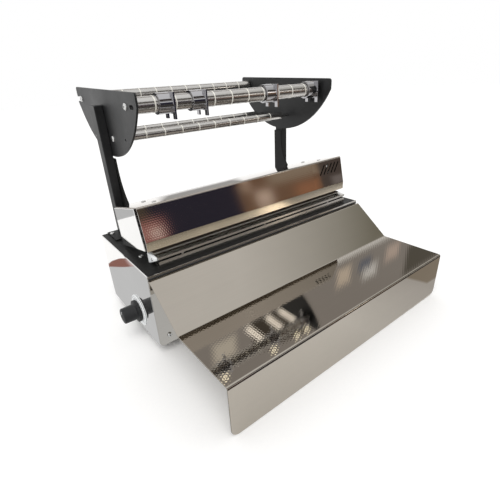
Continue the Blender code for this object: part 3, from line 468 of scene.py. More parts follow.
def lathe(profile, sides, axis="X", closed=False, shape=None):
    """(along, radius) points turned about X or Z; shape(angle, radius) may vary the radius."""
    data = bmesh.new()
    rings = []
    for along, radius in profile:
        ring = []
        for k in range(sides if radius > 0 else 1):
            angle = math.tau * k / sides
            r = shape(angle, radius) if shape else radius
            a, b = r * math.cos(angle), r * math.sin(angle)
            ring.append(data.verts.new((along, a, b) if axis == "X" else (a, b, along)))
        rings.append(ring)
    pairs = list(zip(rings, rings[1:]))
    if closed:
        pairs.append((rings[-1], rings[0]))
    for first, second in pairs:
        for k in range(sides):
            n = (k + 1) % sides
            ends = ((first, k), (first, n), (second, n), (second, k))
            corners = list(dict.fromkeys(ring[i % len(ring)] for ring, i in ends))
            if len(corners) > 2:
                data.faces.new(corners)
    return data


def moved(data, place):
    """The same bmesh, shifted by a vector."""
    bmesh.ops.translate(data, verts=data.verts[:], vec=place)
    return data


def block(low, high):
    """A box between two corners."""
    data = bmesh.new()
    size = [b - a for a, b in zip(low, high)]
    middle = [(a + b) / 2 for a, b in zip(low, high)]
    bmesh.ops.create_cube(data, size=1.0, matrix=Matrix.Translation(middle) @ Matrix.Diagonal((*size, 1.0)))
    return data


def prism(first, second):
    """A closed solid between two outlines that have the same count of points."""
    data = bmesh.new()
    near, far = ([data.verts.new(p) for p in outline] for outline in (first, second))
    data.faces.new(near)
    data.faces.new(far)
    for k in range(len(near)):
        n = (k + 1) % len(near)
        data.faces.new((near[k], near[n], far[n], far[k]))
    return data


def slot_outline(middle, run, width, steps=8):
    """A flat slot with round ends, along the vector run between the ends' middles."""
    turn = math.atan2(run.y, run.x) - math.pi / 2
    outline = []
    for end in (0, 1):
        centre = middle + run * (0.5 - end)
        angles = [turn + math.pi * (end + k / steps) for k in range(steps + 1)]
        outline += [centre + Vector((math.cos(a), math.sin(a))) * width / 2 for a in angles]
    return outline


def between(low, high, share):
    """The value at a share of the way from low to high."""
    return low + (high - low) * share


def joined(parts):
    """Several bmeshes as one."""
    whole = bmesh.new()
    for part in parts:
        mesh = bpy.data.meshes.new("part")
        part.to_mesh(mesh)
        part.free()
        whole.from_mesh(mesh)
        bpy.data.meshes.remove(mesh)
    return whole


def bent(corners, radius, steps=8):
    """An open path with its inner corners rounded."""
    path = [Vector(corners[0])]
    for before, corner, after in zip(corners, corners[1:], corners[2:]):
        here = Vector(corner)
        back = (Vector(before) - here).normalized()
        ahead = (Vector(after) - here).normalized()
        half = back.angle(ahead) / 2
        middle = here + (back + ahead).normalized() * radius / math.sin(half)
        start = here + back * radius / math.tan(half) - middle
        turn = (math.pi - 2 * half) * (1 if back.cross(ahead) < 0 else -1)
        path += [middle + Matrix.Rotation(turn * k / steps, 2) @ start for k in range(steps + 1)]
    path.append(Vector(corners[-1]))
    return path


def offset_path(path, distance):
    """A path moved to its left."""
    out = []
    for i, here in enumerate(path):
        behind = (here - path[i - 1]).normalized() if i else None
        ahead = (path[i + 1] - here).normalized() if i < len(path) - 1 else None
        first, second = behind or ahead, ahead or behind
        normal = Vector((-first.y - second.y, first.x + second.x)).normalized()
        out.append(here + normal * distance / normal.dot(Vector((-first.y, first.x))))
    return out


def cut(target, tool_data):
    """Cuts a tool shape out of a piece and keeps the result as its mesh."""
    bmesh.ops.recalc_face_normals(tool_data, faces=tool_data.faces[:])
    tool_mesh = bpy.data.meshes.new("tool")
    tool_data.to_mesh(tool_mesh)
    tool_data.free()
    tool = bpy.data.objects.new("tool", tool_mesh)
    bpy.context.scene.collection.objects.link(tool)
    kept = [(m, m.show_viewport) for m in target.modifiers]
    for modifier, _ in kept:
        modifier.show_viewport = False
    step = target.modifiers.new("Cut", "BOOLEAN")
    step.object = tool
    graph = bpy.context.evaluated_depsgraph_get()
    result = bpy.data.meshes.new_from_object(target.evaluated_get(graph))
    target.modifiers.remove(step)
    for modifier, shown in kept:
        modifier.show_viewport = shown
    target.data = result
    result.shade_smooth()
    result.set_sharp_from_angle(angle=SMOOTH_ANGLE)
    bpy.data.objects.remove(tool, do_unlink=True)


# Screws


def screw_mesh(radius=SCREW_RADIUS, height=SCREW_HEIGHT):
    """A pan head with a cross recess, standing on the XY plane."""
    profile = [(0.0, 0.0), (0.0, radius), (0.45 * height, radius), (0.75 * height, 0.9 * radius)]
    profile += [(0.93 * height, 0.66 * radius), (height, 0.34 * radius)]
    head = lathe(profile, SCREW_SIDES, "Z")
    arm, half, floor = 0.62 * radius, 0.14 * radius, 0.45 * height
    outline = [(arm, -half), (arm, half), (half, half), (half, arm), (-half, arm), (-half, half)]
    outline += [(-arm, half), (-arm, -half), (-half, -half), (-half, -arm), (half, -arm), (half, -half)]
    rim = [head.verts.new((x, y, 0.985 * height)) for x, y in outline]
    well = [head.verts.new((0.75 * x, 0.75 * y, floor)) for x, y in outline]
    top_ring = [v for v in head.verts if abs(v.co.z - height) < TINY]
    head.faces.new(well)
    for k in range(len(rim)):
        n = (k + 1) % len(rim)
        head.faces.new((rim[k], rim[n], well[n], well[k]))
    inner = [e for e in {e for v in rim for e in v.link_edges} if all(v in rim for v in e.verts)]
    outer = [e for e in {e for v in top_ring for e in v.link_edges} if all(v in top_ring for v in e.verts)]
    bmesh.ops.bridge_loops(head, edges=inner + outer)
    return head


def screws(name, body, look, spots, replaces=(), radius=SCREW_RADIUS, height=SCREW_HEIGHT):
    """Screw heads on a body. Each spot is (place, outward direction)."""
    parts = []
    for k, (place, out) in enumerate(spots):
        head = screw_mesh(radius, height)
        facing = Vector(out).to_track_quat("Z", "Y").to_matrix().to_4x4()
        turn = Matrix.Rotation(SCREW_TURN_STEP * k + SCREW_TURN, 4, "Z")
        head.transform(Matrix.Translation(place) @ facing @ turn)
        parts.append(head)
    return piece(name, joined(parts), look, body, replaces)


# Pressing arm


PIVOT = Vector(JOINTS["arm_hinge"]["pos_m"])
ARM_FRAME = Matrix.Translation((0.0, PIVOT.y, PIVOT.z)) @ Matrix.Rotation(-ARM_TILT, 4, "X")


def arm_extent(node):
    """Lowest and highest corner of an arm node in the arm's own level frame."""
    back = ARM_FRAME.inverted()
    points = [back @ v.co for v in NODES[node].data.vertices]
    low = Vector([min(p[i] for p in points) for i in range(3)])
    high = Vector([max(p[i] for p in points) for i in range(3)])
    return low, high


def emboss(x, s):
    """Depth of the dimple pattern at x along the arm and s down its face."""
    row = s / EMBOSS_ROW
    nearest = EMBOSS_RADIUS
    for r in (math.floor(row), math.floor(row) + 1):
        shift = 0.5 * EMBOSS_PITCH * (r % 2)
        dx = (x - shift) - EMBOSS_PITCH * round((x - shift) / EMBOSS_PITCH)
        ds = (row - r) * EMBOSS_ROW
        nearest = min(nearest, math.hypot(dx, ds))
    return EMBOSS_DEPTH * 0.5 * (1 + math.cos(math.pi * nearest / EMBOSS_RADIUS))


def arm_cover():
    """Folded cover with a dimpled front face and slanted air slots."""
    low, high = arm_extent("arm_cover")
    strip_top = low.z + ARM_STRIP * math.cos(ARM_TILT)
    foot = (low.y + ARM_STRIP * math.sin(ARM_TILT), low.z)
    corners = [(high.y, high.z - ARM_BACK_DROP), (high.y, high.z), (low.y, high.z), (low.y, strip_top), foot]
    outer = bent(corners, ARM_BEND)
    inner = offset_path(outer, ARM_SHEET)
    middle = (high.z + strip_top) / 2
    first = 1 + max(i for i, p in enumerate(outer) if p.x < low.y + TINY and p.y > middle)
    face_top = outer[first - 1].y
    span = face_top - outer[first].y
    rows = round(span / EMBOSS_STEP)
    face = [Vector((low.y, face_top - span * k / rows)) for k in range(1, rows)]
    loop = outer[:first] + face + outer[first:] + inner[::-1]
    last = first + len(face)
    columns = round((high.x - low.x) / EMBOSS_STEP)
    vents_from = high.x - VENT_MARGIN - VENT_PITCH * VENT_COUNT - VENT_LEAN
    data = bmesh.new()
    rings = []
    for c in range(columns + 1):
        x = low.x + (high.x - low.x) * c / columns
        edge = min(x - low.x, vents_from - x) / EMBOSS_PITCH
        ring = []
        for i, p in enumerate(loop):
            y = p.x
            if first <= i < last and edge > 0:
                rim = min(i - first, last - i) * EMBOSS_STEP / EMBOSS_PITCH
                y += emboss(x, face_top - p.y) * min(1.0, edge, rim)
            ring.append(data.verts.new((x, y, p.y)))
        rings.append(ring)
    for near, far in zip(rings, rings[1:]):
        for k in range(len(loop)):
            n = (k + 1) % len(loop)
            made = data.faces.new((near[k], near[n], far[n], far[k]))
            # The lower strip's faces take the brighter copy, a painted highlight
            made.material_index = 1 if last <= k < len(outer) + len(face) else 0
    data.faces.new(rings[0])
    data.faces.new(rings[-1])
    data.transform(ARM_FRAME)
    cover = piece("arm_cover_sheet", data, ARM_STEEL, "arm", ("arm_cover",))
    cover.data.materials.append(STRIP_HIGHLIGHT_STEEL)
    cut_vents(cover, low, high)


def cut_vents(cover, low, high):
    """Cuts the air slots through the cover's front face."""
    parts = []
    z = high.z - VENT_DROP * (high.z - low.z - ARM_STRIP)
    run = Vector((VENT_LEAN, VENT_LENGTH - VENT_WIDTH))
    for k in range(VENT_COUNT):
        x = high.x - VENT_MARGIN - VENT_PITCH * k
        outline = slot_outline(Vector((x, z)), run, VENT_WIDTH)
        near, far = low.y - 2 * ARM_SHEET, low.y + 3 * ARM_SHEET
        data = prism([(p.x, near, p.y) for p in outline], [(p.x, far, p.y) for p in outline])
        bmesh.ops.recalc_face_normals(data, faces=data.faces[:])
        parts.append(data)
    whole = joined(parts)
    whole.transform(ARM_FRAME)
    cut(cover, whole)


def arm_details():
    """End caps and levers with painted shade on their inner sides, the pressing bar with its pad, and the
    arm's screws.
    """
    for side, inward in zip(SIDES, (1, -1)):
        cap = finished(f"arm_cap_{side}", CAP_STEEL, EASED_EDGE)
        lever = finished(f"arm_lever_{side}", BRIGHT_STEEL, PLATE_EDGE)
        for plate in (cap, lever):
            plate.data.materials.append(INNER_SHADE_STEEL)
            for face in plate.data.polygons:
                # Inward faces get the painted shade
                face.material_index = 1 if face.normal.x * inward > FACING else 0
    finished("pressure_bar", JAW_METAL, BAR_EDGE)
    finished("silicone_pad", SILICONE, PAD_EDGE)
    low, high = arm_extent("arm_cover")
    up = ARM_FRAME.to_3x3() @ Vector((0, 0, 1))
    spots = []
    for side in (-1, 1):
        lever_low, lever_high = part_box("arm_lever_left" if side < 0 else "arm_lever_right")
        x = (lever_low.x + lever_high.x) / 2
        for share in (0.25, 0.7):
            spots.append((ARM_FRAME @ Vector((x, between(low.y, high.y, share), high.z)), up))
    screws("arm_screws", "arm", BRIGHT_STEEL, spots, height=0.0012)


# Base, tray and jaw


def base():
    """Case panels, tray with a painted shadow strip in its seam, feet and the case screws."""
    finished("work_tray", TRAY_STEEL, SHEET_EDGE)
    finished("front_panel", FRONT_STEEL, SHEET_EDGE)
    for side in SIDES:
        finished(f"{side}_side_plate", SIDE_STEEL, PLATE_EDGE)
    finished("back_panel", PLAIN_STEEL, SHEET_EDGE)
    finished("base_pan", PLAIN_STEEL, SHEET_EDGE)
    finished("top_deck", DECK_COAT, SHEET_EDGE)
    for side in SIDES:
        for end in ("front", "rear"):
            finished(f"foot_{end}_{side}", RUBBER_AND_SEAM_SHADOW, SOFT_EDGE)
    tray_seal()
    spots = []
    for side in SIDES:
        low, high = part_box(f"front_screw_{side}")
        x, z = (low.x + high.x) / 2, (low.z + high.z) / 2
        spots.append((Vector((x, low.y + SCREW_HEIGHT, z)), (0, -1, 0)))
    nodes = [f"front_screw_{side}" for side in SIDES]
    screws("front_screws", "frame", BRIGHT_STEEL, spots, nodes)
    low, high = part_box("back_panel")
    inset = 0.012
    corners = [(x, z) for x in (low.x + inset, high.x - inset) for z in (low.z + inset, high.z - inset)]
    spots = [(Vector((x, high.y, z)), (0, 1, 0)) for x, z in corners]
    low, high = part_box("top_deck")
    case_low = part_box("front_panel")[0]
    edge, depth = 0.0155, 0.0588
    for x in (low.x + edge, high.x - edge):
        spots.append((Vector((x, case_low.y + depth, high.z)), (0, 0, 1)))
    screws("case_screws", "frame", BRIGHT_STEEL, spots)


def tray_seal():
    """Black half-round strip in the seam between the tray's top edge and the front panel, a painted shadow
    for the gap there.
    """
    low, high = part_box("work_tray")
    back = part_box("front_panel")[0].y
    half, depth, rise, inset = 0.0014, 0.0006, 0.0009, 0.001
    steps = 8
    outline = []
    for k in range(steps + 1):
        angle = math.pi * k / steps
        outline.append((back - depth * math.sin(angle), high.z + rise + half * math.cos(angle)))
    ends = [[(x, y, z) for y, z in outline] for x in (low.x + inset, high.x - inset)]
    data = prism(*ends)
    # Painted shadow: a black strip where the seam only has shade
    piece("tray_seal", data, RUBBER_AND_SEAM_SHADOW, "frame")


def jaw():
    """Jaw bar, heating stack and end clamps."""
    bar = finished("lower_jaw", JAW_METAL, PLATE_EDGE)
    low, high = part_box("lower_jaw")
    beyond, depth = 0.0018, 0.012
    chambers = []
    for near, far in ((low.x - beyond, low.x + depth), (high.x - depth, high.x + beyond)):
        for first, last, bottom, top in JAW_CHAMBERS:
            corner = (far, low.y + last, low.z + top)
            chambers.append(block((near, low.y + first, low.z + bottom), corner))
    cut(bar, joined(chambers))
    # Painted shade: the slot's inner faces take the black plastic so the recess looks dark
    bar.data.materials.append(BLACK_PLASTIC_AND_SLOT_SHADE)
    slot_low, slot_high, slot_depth = JAW_SLOT
    slack, recess = 0.0002, 0.0001
    for face in bar.data.polygons:
        y, z = face.center.y - low.y, face.center.z - low.z
        if 2 * slack < y < slot_depth + 2 * slack and slot_low - slack < z < slot_high + slack:
            face.material_index = 1
    bridges = []
    for x in JAW_BRIDGES:
        near = (x - JAW_BRIDGE / 2, low.y + recess, low.z + slot_low)
        bridges.append(block(near, (x + JAW_BRIDGE / 2, low.y + slot_depth, low.z + slot_high)))
    piece("jaw_bridges", joined(bridges), JAW_METAL, "frame", bevel=PLATE_EDGE)
    finished("insulating_strip", INSULATION, FILM_EDGE)
    finished("heating_element", BRIGHT_STEEL, FILM_EDGE)
    finished("cover_tape", CLOTH, CLOTH_EDGE)
    spots = []
    for side in SIDES:
        finished(f"element_clamp_{side}", WHITE_PLASTIC, BAR_EDGE)
        low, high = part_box(f"element_clamp_{side}")
        x, out = (low.x, -1) if side == "left" else (high.x, 1)
        y, z = between(low.y, high.y, 0.4), between(low.z, high.z, 0.65)
        spots.append((Vector((x, y, z)), (out, 0, 0)))
    screws("clamp_screws", "frame", BRIGHT_STEEL, spots, radius=0.0019, height=0.0009)


# Hinge and springs


def hinge():
    """Hinge rod, the springs that lift the arm, and its micro switch."""
    finished("hinge_rod", BRIGHT_STEEL, EASED_EDGE)
    for side in SIDES:
        node = f"spring_{side}"
        data = bmesh.new()
        data.from_mesh(NODES[node].data)
        bmesh.ops.remove_doubles(data, verts=data.verts[:], dist=TINY)
        look, slot = BRIGHT_STEEL, "bright_steel"
        spring = piece(f"{node}_wire", data, look, "frame", (node,), sharp=WIRE_ANGLE)
        bend_spring(spring)
    finished("micro_switch", BLACK_PLASTIC_AND_SLOT_SHADE, EASED_EDGE)
    finished("switch_plunger", WHITE_PLASTIC, SHEET_EDGE)
    finished("switch_bracket", PLAIN_STEEL, SHEET_EDGE)


def bend_spring(spring):
    """Takes a spring off its body and bakes its place into the mesh."""
    spring.parent = None
    spring.matrix_world = Matrix.Identity(4)
    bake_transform(spring)


# Roll stand


def stand():
    """Feet, posts, roll plates, axles and their screws."""
    beside_post, seat = 0.0115, 0.0003
    spots = []
    for side in SIDES:
        finished(f"stand_foot_{side}", DECK_COAT, EASED_EDGE)
        finished(f"post_{side}", BLACK_COAT, SOFT_EDGE)
        finished(f"roll_plate_{side}", BLACK_COAT, EASED_EDGE)
        sign = -1 if side == "left" else 1
        post_low, post_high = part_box(f"post_{side}")
        foot_low, foot_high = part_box(f"stand_foot_{side}")
        x = (post_low.x if sign < 0 else post_high.x) + sign * beside_post
        y = between(foot_low.y, foot_high.y, 0.73)
        spots.append((Vector((x, y, post_low.z - seat)), (0, 0, 1)))
    screws("stand_screws", "frame", BRIGHT_STEEL, spots)
    ends = []
    for name in ("upper_front", "upper_rear", "lower_front", "lower_rear"):
        finished(f"{name}_axle", BRIGHT_STEEL, BAR_EDGE)
        roller(name)
        if name == "lower_rear":
            continue
        low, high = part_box(f"{name}_axle")
        y, z = (low.y + high.y) / 2, (low.z + high.z) / 2
        for side in SIDES:
            plate_low, plate_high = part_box(f"roll_plate_{side}")
            x, out = (plate_low.x, -1) if side == "left" else (plate_high.x, 1)
            ends.append((Vector((x, y, z)), (out, 0, 0)))
    screws("axle_heads", "frame", BRIGHT_STEEL, ends, radius=0.0044, height=0.0021)


def roller(name):
    """A chromed tube with bright bands, and its end bushes."""
    node = f"{name}_tube"
    low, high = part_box(node)
    radius = (high.z - low.z) / 2
    y, z = (low.y + high.y) / 2, (low.z + high.z) / 2
    bore = radius - TUBE_WALL
    half = (high.x - low.x) / 2
    count = max(2, round(2 * half / RING_PITCH))
    body = f"{name}_roller"
    place = ((low.x + high.x) / 2, y, z)
    inner = radius - RING_RELIEF
    rim, edge = inner - TUBE_CHAMFER, half - TUBE_CHAMFER
    outline = [(-half, rim), (-edge, inner), (edge, inner), (half, rim), (half, bore), (-half, bore)]
    tube = moved(lathe(outline, TUBE_SIDES, closed=True), place)
    piece(f"{node}_sheet", tube, TUBE_STEEL, body, (node,))
    bands = []
    for k in range(1, count):
        x = -half + 2 * half * k / count
        near, far = x - RING_WIDTH / 2, x + RING_WIDTH / 2
        foot, shoulder = inner + RING_SEAT, radius - RING_CROWN
        band = [(near, foot), (near, shoulder), (x, radius), (far, shoulder), (far, foot)]
        bands.append(moved(lathe(band, TUBE_SIDES, closed=True), place))
    piece(f"{node}_bands", joined(bands), RING_METAL, body)
    axle_low, axle_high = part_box(f"{name}_axle")
    hole, rim = (axle_high.z - axle_low.z) / 2 + BUSH_PLAY, bore - BUSH_PLAY / 2
    bushes = []
    for end in (-1, 1):
        out, within = end * half, end * (half - BUSH_REACH)
        profile = [(out, hole), (out, rim), (within, rim), (within, hole)]
        bushes.append(moved(lathe(profile, BUSH_SIDES, closed=True), place))
    piece(f"{node}_bushes", joined(bushes), WHITE_PLASTIC, body)


def stops():
    """Roll stops on the upper front tube."""
    for k in range(1, STOP_COUNT + 1):
        finished(f"roll_stop_{k}", STOP_STEEL, EASED_EDGE)


# Timer


def timer():
    """Dial plate with marks, fluted knob and shaft."""
    axis = Vector(JOINTS["knob_turn"]["pos_m"])
    finished("dial_plate", WHITE_PLASTIC, BOARD_EDGE)
    dial_low, dial_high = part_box("dial_plate")
    radius = (dial_high.z - dial_low.z) / 2
    knob(axis)
    finished("timer_shaft", BRIGHT_STEEL, SHEET_EDGE)
    finished("timer_body", WHITE_PLASTIC, SOFT_EDGE)
    marks = []
    rim = radius - DIAL_RIM
    steps = DIAL_SPLIT * (DIAL_MARKS - 1)
    for k in range(steps + 1):
        angle = math.radians(DIAL_SWEEP * (k / steps - 0.5))
        reach, width = SHORT_MARK if k % DIAL_SPLIT else LONG_MARK
        mark = block((-MARK_RELIEF, -width, rim - reach), (0.0, width, rim))
        mark.transform(Matrix.Translation((dial_low.x, axis.y, axis.z)) @ Matrix.Rotation(angle, 4, "X"))
        marks.append(mark)
    marks += [dial_number(k, axis, dial_low.x, radius - NUMBER_INSET) for k in range(DIAL_MARKS)]
    piece("dial_marks", joined(marks), PRINT, "frame")


def dial_number(number, axis, face, reach):
    """A raised number on the dial, upright, at its mark."""
    text = bpy.data.curves.new("number", "FONT")
    text.body = str(number)
    text.size = NUMBER_SIZE
    text.extrude = NUMBER_RELIEF
    text.align_x = "CENTER"
    text.align_y = "CENTER"
    made = bpy.data.objects.new("number", text)
    bpy.context.scene.collection.objects.link(made)
    mesh = bpy.data.meshes.new_from_object(made.evaluated_get(bpy.context.evaluated_depsgraph_get()))
    bpy.data.objects.remove(made, do_unlink=True)
    data = bmesh.new()
    data.from_mesh(mesh)
    bpy.data.meshes.remove(mesh)
    angle = math.radians(DIAL_SWEEP * (number / (DIAL_MARKS - 1) - 0.5))
    place = (face, axis.y - reach * math.sin(angle), axis.z + reach * math.cos(angle))
    facing = Matrix(((0, 0, -1), (-1, 0, 0), (0, 1, 0))).to_4x4()
    data.transform(Matrix.Translation(place) @ facing)
    return data


def knob(axis):
    """Round grip, fluted skirt and a white pointer line."""
    low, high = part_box("timer_knob")
    start, end = low.x - axis.x, high.x - axis.x
    skirt = (high.z - low.z) / 2
    step = end - SKIRT_LENGTH
    grip, soft = GRIP_RADIUS, GRIP_ROUND
    hole, recess = KNOB_HOLE

    def fluted(angle, radius):
        if radius < (1 - 2 * FLUTE_DEPTH) * skirt:
            return radius
        return radius * (1 - FLUTE_DEPTH + FLUTE_DEPTH * abs(math.cos(angle * FLUTES / 2)) ** FLUTE_SHAPE)

    face = start + 0.0001
    profile = [(face, 0.0), (face, grip - 2.2 * soft), (face + 0.0003, grip - 1.2 * soft)]
    profile += [(start + 0.0009, grip - 0.4 * soft), (start + 0.0020, grip)]
    profile += [(step - 0.0016, grip + 0.0003), (step - 0.0006, grip + 0.0008), (step, grip + 0.0018)]
    profile += [(step + 0.0002, skirt - 0.0010), (step + 0.0008, skirt), (end - 0.0006, skirt)]
    profile += [(end, skirt - 0.0006), (end, hole), (end - recess, hole), (end - recess, 0.0)]
    shape = lathe(profile, FLUTES * FLUTE_STEPS, shape=fluted)
    piece("timer_knob_grip", moved(shape, axis), BLACK_PLASTIC_AND_SLOT_SHADE, "knob", ("timer_knob",))
    piece("timer_knob_pointer", moved(pointer(start), axis), WHITE_PLASTIC, "knob")


def pointer(start):
    """A raised line with round ends on the knob's face."""
    low, high, depth, taper = 0.0036, GRIP_RADIUS - 0.0032, 0.0004, 0.85
    outline = slot_outline(Vector((0.0, (low + high) / 2)), Vector((0.0, high - low)), POINTER_WIDTH)
    top = [(start, taper * p.x, p.y) for p in outline]
    return prism(top, [(start + depth, p.x, p.y) for p in outline])


# Inside the base


def inside():
    """Transformer, board and gland."""
    finished("transformer_core", CORE, PLATE_EDGE)
    finished("transformer_winding", COPPER, WINDING_EDGE)
    finished("control_board", BOARD, BOARD_EDGE)
    finished("cord_gland", BLACK_PLASTIC_AND_SLOT_SHADE, BAR_EDGE)
    finished("gland_nut", BLACK_PLASTIC_AND_SLOT_SHADE, BAR_EDGE)


# Floor, light and camera


def card(name, corners, color, soft=0.0):
    """A studio card that only shows in reflections, fading out over the soft part of its reach."""
    middle = sum((Vector(c) for c in corners), Vector()) / len(corners)
    inner = [middle.lerp(Vector(c), 1.0 - soft) for c in corners]
    count = len(corners)
    faces = [tuple(range(count))]
    if soft:
        faces += [(k, (k + 1) % count, count + (k + 1) % count, count + k) for k in range(count)]
    mesh = bpy.data.meshes.new(name)
    mesh.from_pydata(inner + (list(corners) if soft else []), [], faces)
    glow = mesh.attributes.new("glow", "FLOAT", "POINT")
    for k, value in enumerate(glow.data):
        value.value = 1.0 if k < count else 0.0
    made = bpy.data.objects.new(name, mesh)
    look = bpy.data.materials.new(name)
    look.use_nodes = True
    tree = look.node_tree
    tree.nodes.remove(tree.nodes["Principled BSDF"])
    shine = tree.nodes.new("ShaderNodeEmission")
    shine.inputs["Color"].default_value = (*color, 1.0)
    fade = tree.nodes.new("ShaderNodeAttribute")
    fade.attribute_name = "glow"
    mix = tree.nodes.new("ShaderNodeMixShader")
    tree.links.new(fade.outputs["Fac"], mix.inputs["Fac"])
    tree.links.new(tree.nodes.new("ShaderNodeBsdfTransparent").outputs["BSDF"], mix.inputs[1])
    tree.links.new(shine.outputs["Emission"], mix.inputs[2])
    tree.links.new(mix.outputs["Shader"], tree.nodes["Material Output"].inputs["Surface"])
    mesh.materials.append(look)
    for flag in ("camera", "diffuse", "transmission", "shadow", "volume_scatter"):
        setattr(made, f"visible_{flag}", False)
    bpy.context.scene.collection.objects.link(made)


def upright(wall, left, right, low, high, lean=0.0):
    """Corners of an upright card in the plane y = wall; its top is shifted by lean."""
    return [(left, wall, low), (right, wall, low), (right + lean, wall, high), (left + lean, wall, high)]


def lying(z, *corners):
    """Corners of a card that lies level."""
    return [(x, y, z) for x, y in corners]


def cards():
    """The room that the polished sheet shows."""
    front_cards()
    back_cards()
    floor_cards()


def front_cards():
    """The room's dark side for the arm's face, a glare for its strip and a shade for the tray's slope."""
    low, high = -0.05, 0.55
    wall, nearer, nearest = FRONT_WALL, FRONT_WALL + 0.01, FRONT_WALL + 0.02
    card("front_left", upright(wall, -0.4, 0.36, low, high), (0.10, 0.082, 0.062))
    card("front_dark", upright(wall, 0.36, 0.965, low, high), (0.036, 0.034, 0.052))
    card("front_brown", upright(wall, 0.965, 1.70, low, high), (0.235, 0.142, 0.092))
    card("front_end", upright(wall, 1.70, 2.70, low, high), (0.105, 0.086, 0.078))
    card("front_upper", upright(nearer, 1.17, 1.72, 0.305, 0.52), (0.37, 0.295, 0.225), 0.25)
    card("front_spark", upright(nearest, 0.975, 1.05, 0.305, 0.42), (0.60, 0.46, 0.36), 0.6)
    card("front_lamp", upright(nearest, 1.05, 1.21, 0.18, 0.32), (0.74, 0.59, 0.49), 0.55)
    card("front_orange", upright(nearest, 1.38, 1.68, 0.17, 0.29), (0.40, 0.195, 0.11), 0.45)
    card("front_low", upright(nearest, 1.76, 2.10, 0.18, 0.27), (0.24, 0.215, 0.21), 0.4)
    card("front_glow", upright(nearer, 0.22, 0.45, 0.15, 0.33), (0.46, 0.21, 0.19), 0.5)
    card("front_glint", upright(nearest, 0.32, 0.405, 0.205, 0.265), (0.95, 0.82, 0.75), 0.6)
    card("front_glare", upright(nearest, 1.17, 1.47, 0.58, 0.76), (6.0, 5.5, 4.9), 0.7)
    card("front_mid", upright(wall, -0.4, 4.5, 0.77, 1.1), (0.30, 0.28, 0.265))
    card("front_high", upright(wall, -0.4, 4.5, 1.1, 1.9), (0.052, 0.044, 0.037), 0.06)
    overhead = lying(2.5, (1.35, -2.35), (6.45, -2.35), (6.45, 0.45), (1.35, 0.45))
    card("slope_shade", overhead, (0.32, 0.31, 0.26), 0.85)


def back_cards():
    """The dim wall with lamps that the shelf shows."""
    wall, nearer, nearest = BACK_WALL, BACK_WALL - 0.01, BACK_WALL - 0.02
    card("back_wall", upright(wall, -0.6, 4.6, 1.24, 2.6), (0.40, 0.375, 0.36))
    shade = [(x, nearer, z) for x, z in ((0.86, 1.36), (1.42, 1.40), (1.62, 1.79), (0.90, 1.67))]
    card("back_dark", shade, (0.095, 0.082, 0.068), 0.08)
    for k, (x, lean) in enumerate(((0.80, 0.20), (0.98, 0.22), (1.10, 0.25))):
        bar = upright(nearest, x + 0.005, x + 0.060, 1.38, 1.65, lean)
        card(f"back_bar_{k + 1}", bar, (1.75, 1.66, 1.54), 0.12)
    for k, (x, z) in enumerate(((1.09, 1.74), (1.45, 1.73), (0.62, 1.72), (1.34, 1.74))):
        half = 0.03
        lamp = upright(nearest, x - half, x + half, z - half, z + half)
        card(f"back_lamp_{k + 1}", lamp, (2.4, 2.25, 1.8), 0.55)
    card("back_warm", upright(nearest, 1.76, 1.99, 1.28, 1.52), (0.85, 0.74, 0.63), 0.5)
    card("back_blue", upright(nearest, 2.06, 2.28, 1.31, 1.47), (0.22, 0.24, 0.30), 0.4)
    card("back_white", upright(nearest, 2.12, 2.40, 1.40, 1.58), (0.92, 0.92, 0.93), 0.6)
    card("back_pink", upright(nearest, 2.46, 2.74, 1.30, 1.52), (0.74, 0.62, 0.56), 0.5)
    card("back_end", upright(nearer, 2.86, 3.7, 1.44, 1.84), (0.16, 0.15, 0.13), 0.2)
    card("back_left", upright(nearest, 0.52, 0.76, 1.36, 1.58), (0.80, 0.75, 0.67), 0.45)


def floor_cards():
    """Tones that the side plate, the arm's cap and top, the tray's lip and the front panel show."""
    z = 0.002
    beside = ((-0.186, 0.273), (-0.216, 0.242), (-0.238, 0.219), (-0.260, 0.203), (-0.60, 0.17))
    beside += ((-0.60, -0.25), (-0.186, -0.25))
    card("side_grey", lying(2 * z, *beside), (0.565, 0.565, 0.565))
    brown = ((-0.204, 0.234), (-0.221, 0.262), (-0.230, 0.268), (-0.246, 0.268), (-0.259, 0.255))
    brown += ((-0.266, 0.232), (-0.252, 0.196), (-0.228, 0.204))
    card("side_brown", lying(z, *brown), (0.27, 0.13, 0.105), 0.07)
    mauve = ((-0.250, 0.256), (-0.270, 0.240), (-0.277, 0.205), (-0.258, 0.194), (-0.246, 0.214))
    card("side_mauve", lying(1.5 * z, *mauve), (0.62, 0.49, 0.48), 0.4)
    beyond = lying(z, (-0.70, 0.49), (-0.22, 0.49), (-0.22, 1.20), (-0.70, 1.20))
    card("cap_grey", beyond, (0.52, 0.52, 0.52))
    behind = lying(z, (0.17, 0.80), (0.56, 0.80), (4.20, 6.00), (2.20, 6.00))
    card("top_grey", behind, (0.40, 0.395, 0.385), 0.12)
    card("top_back", upright(5.5, 2.00, 3.85, 0.0, 1.2), (0.40, 0.395, 0.385), 0.12)
    dark_floor = lying(z, (-0.8, -1.5), (2.4, -1.5), (2.4, -0.30), (-0.8, -0.30))
    card("front_floor", dark_floor, (0.075, 0.068, 0.062), 0.05)
    corner = lying(2 * z, (0.225, -0.232), (0.40, -0.227), (0.40, -0.30), (0.205, -0.30))
    card("lip_brown", corner, (0.39, 0.34, 0.28), 0.10)
    right = lying(1.5 * z, (0.05, -0.36), (0.75, -0.36), (0.75, -0.10), (0.05, -0.10))
    card("lip_grey", right, (0.64, 0.62, 0.60), 0.5)
    under_tray = lying(z, (-0.19, -0.21), (0.215, -0.21), (0.215, -0.06), (-0.19, -0.06))
    card("tray_floor", under_tray, (0.62, 0.62, 0.61))


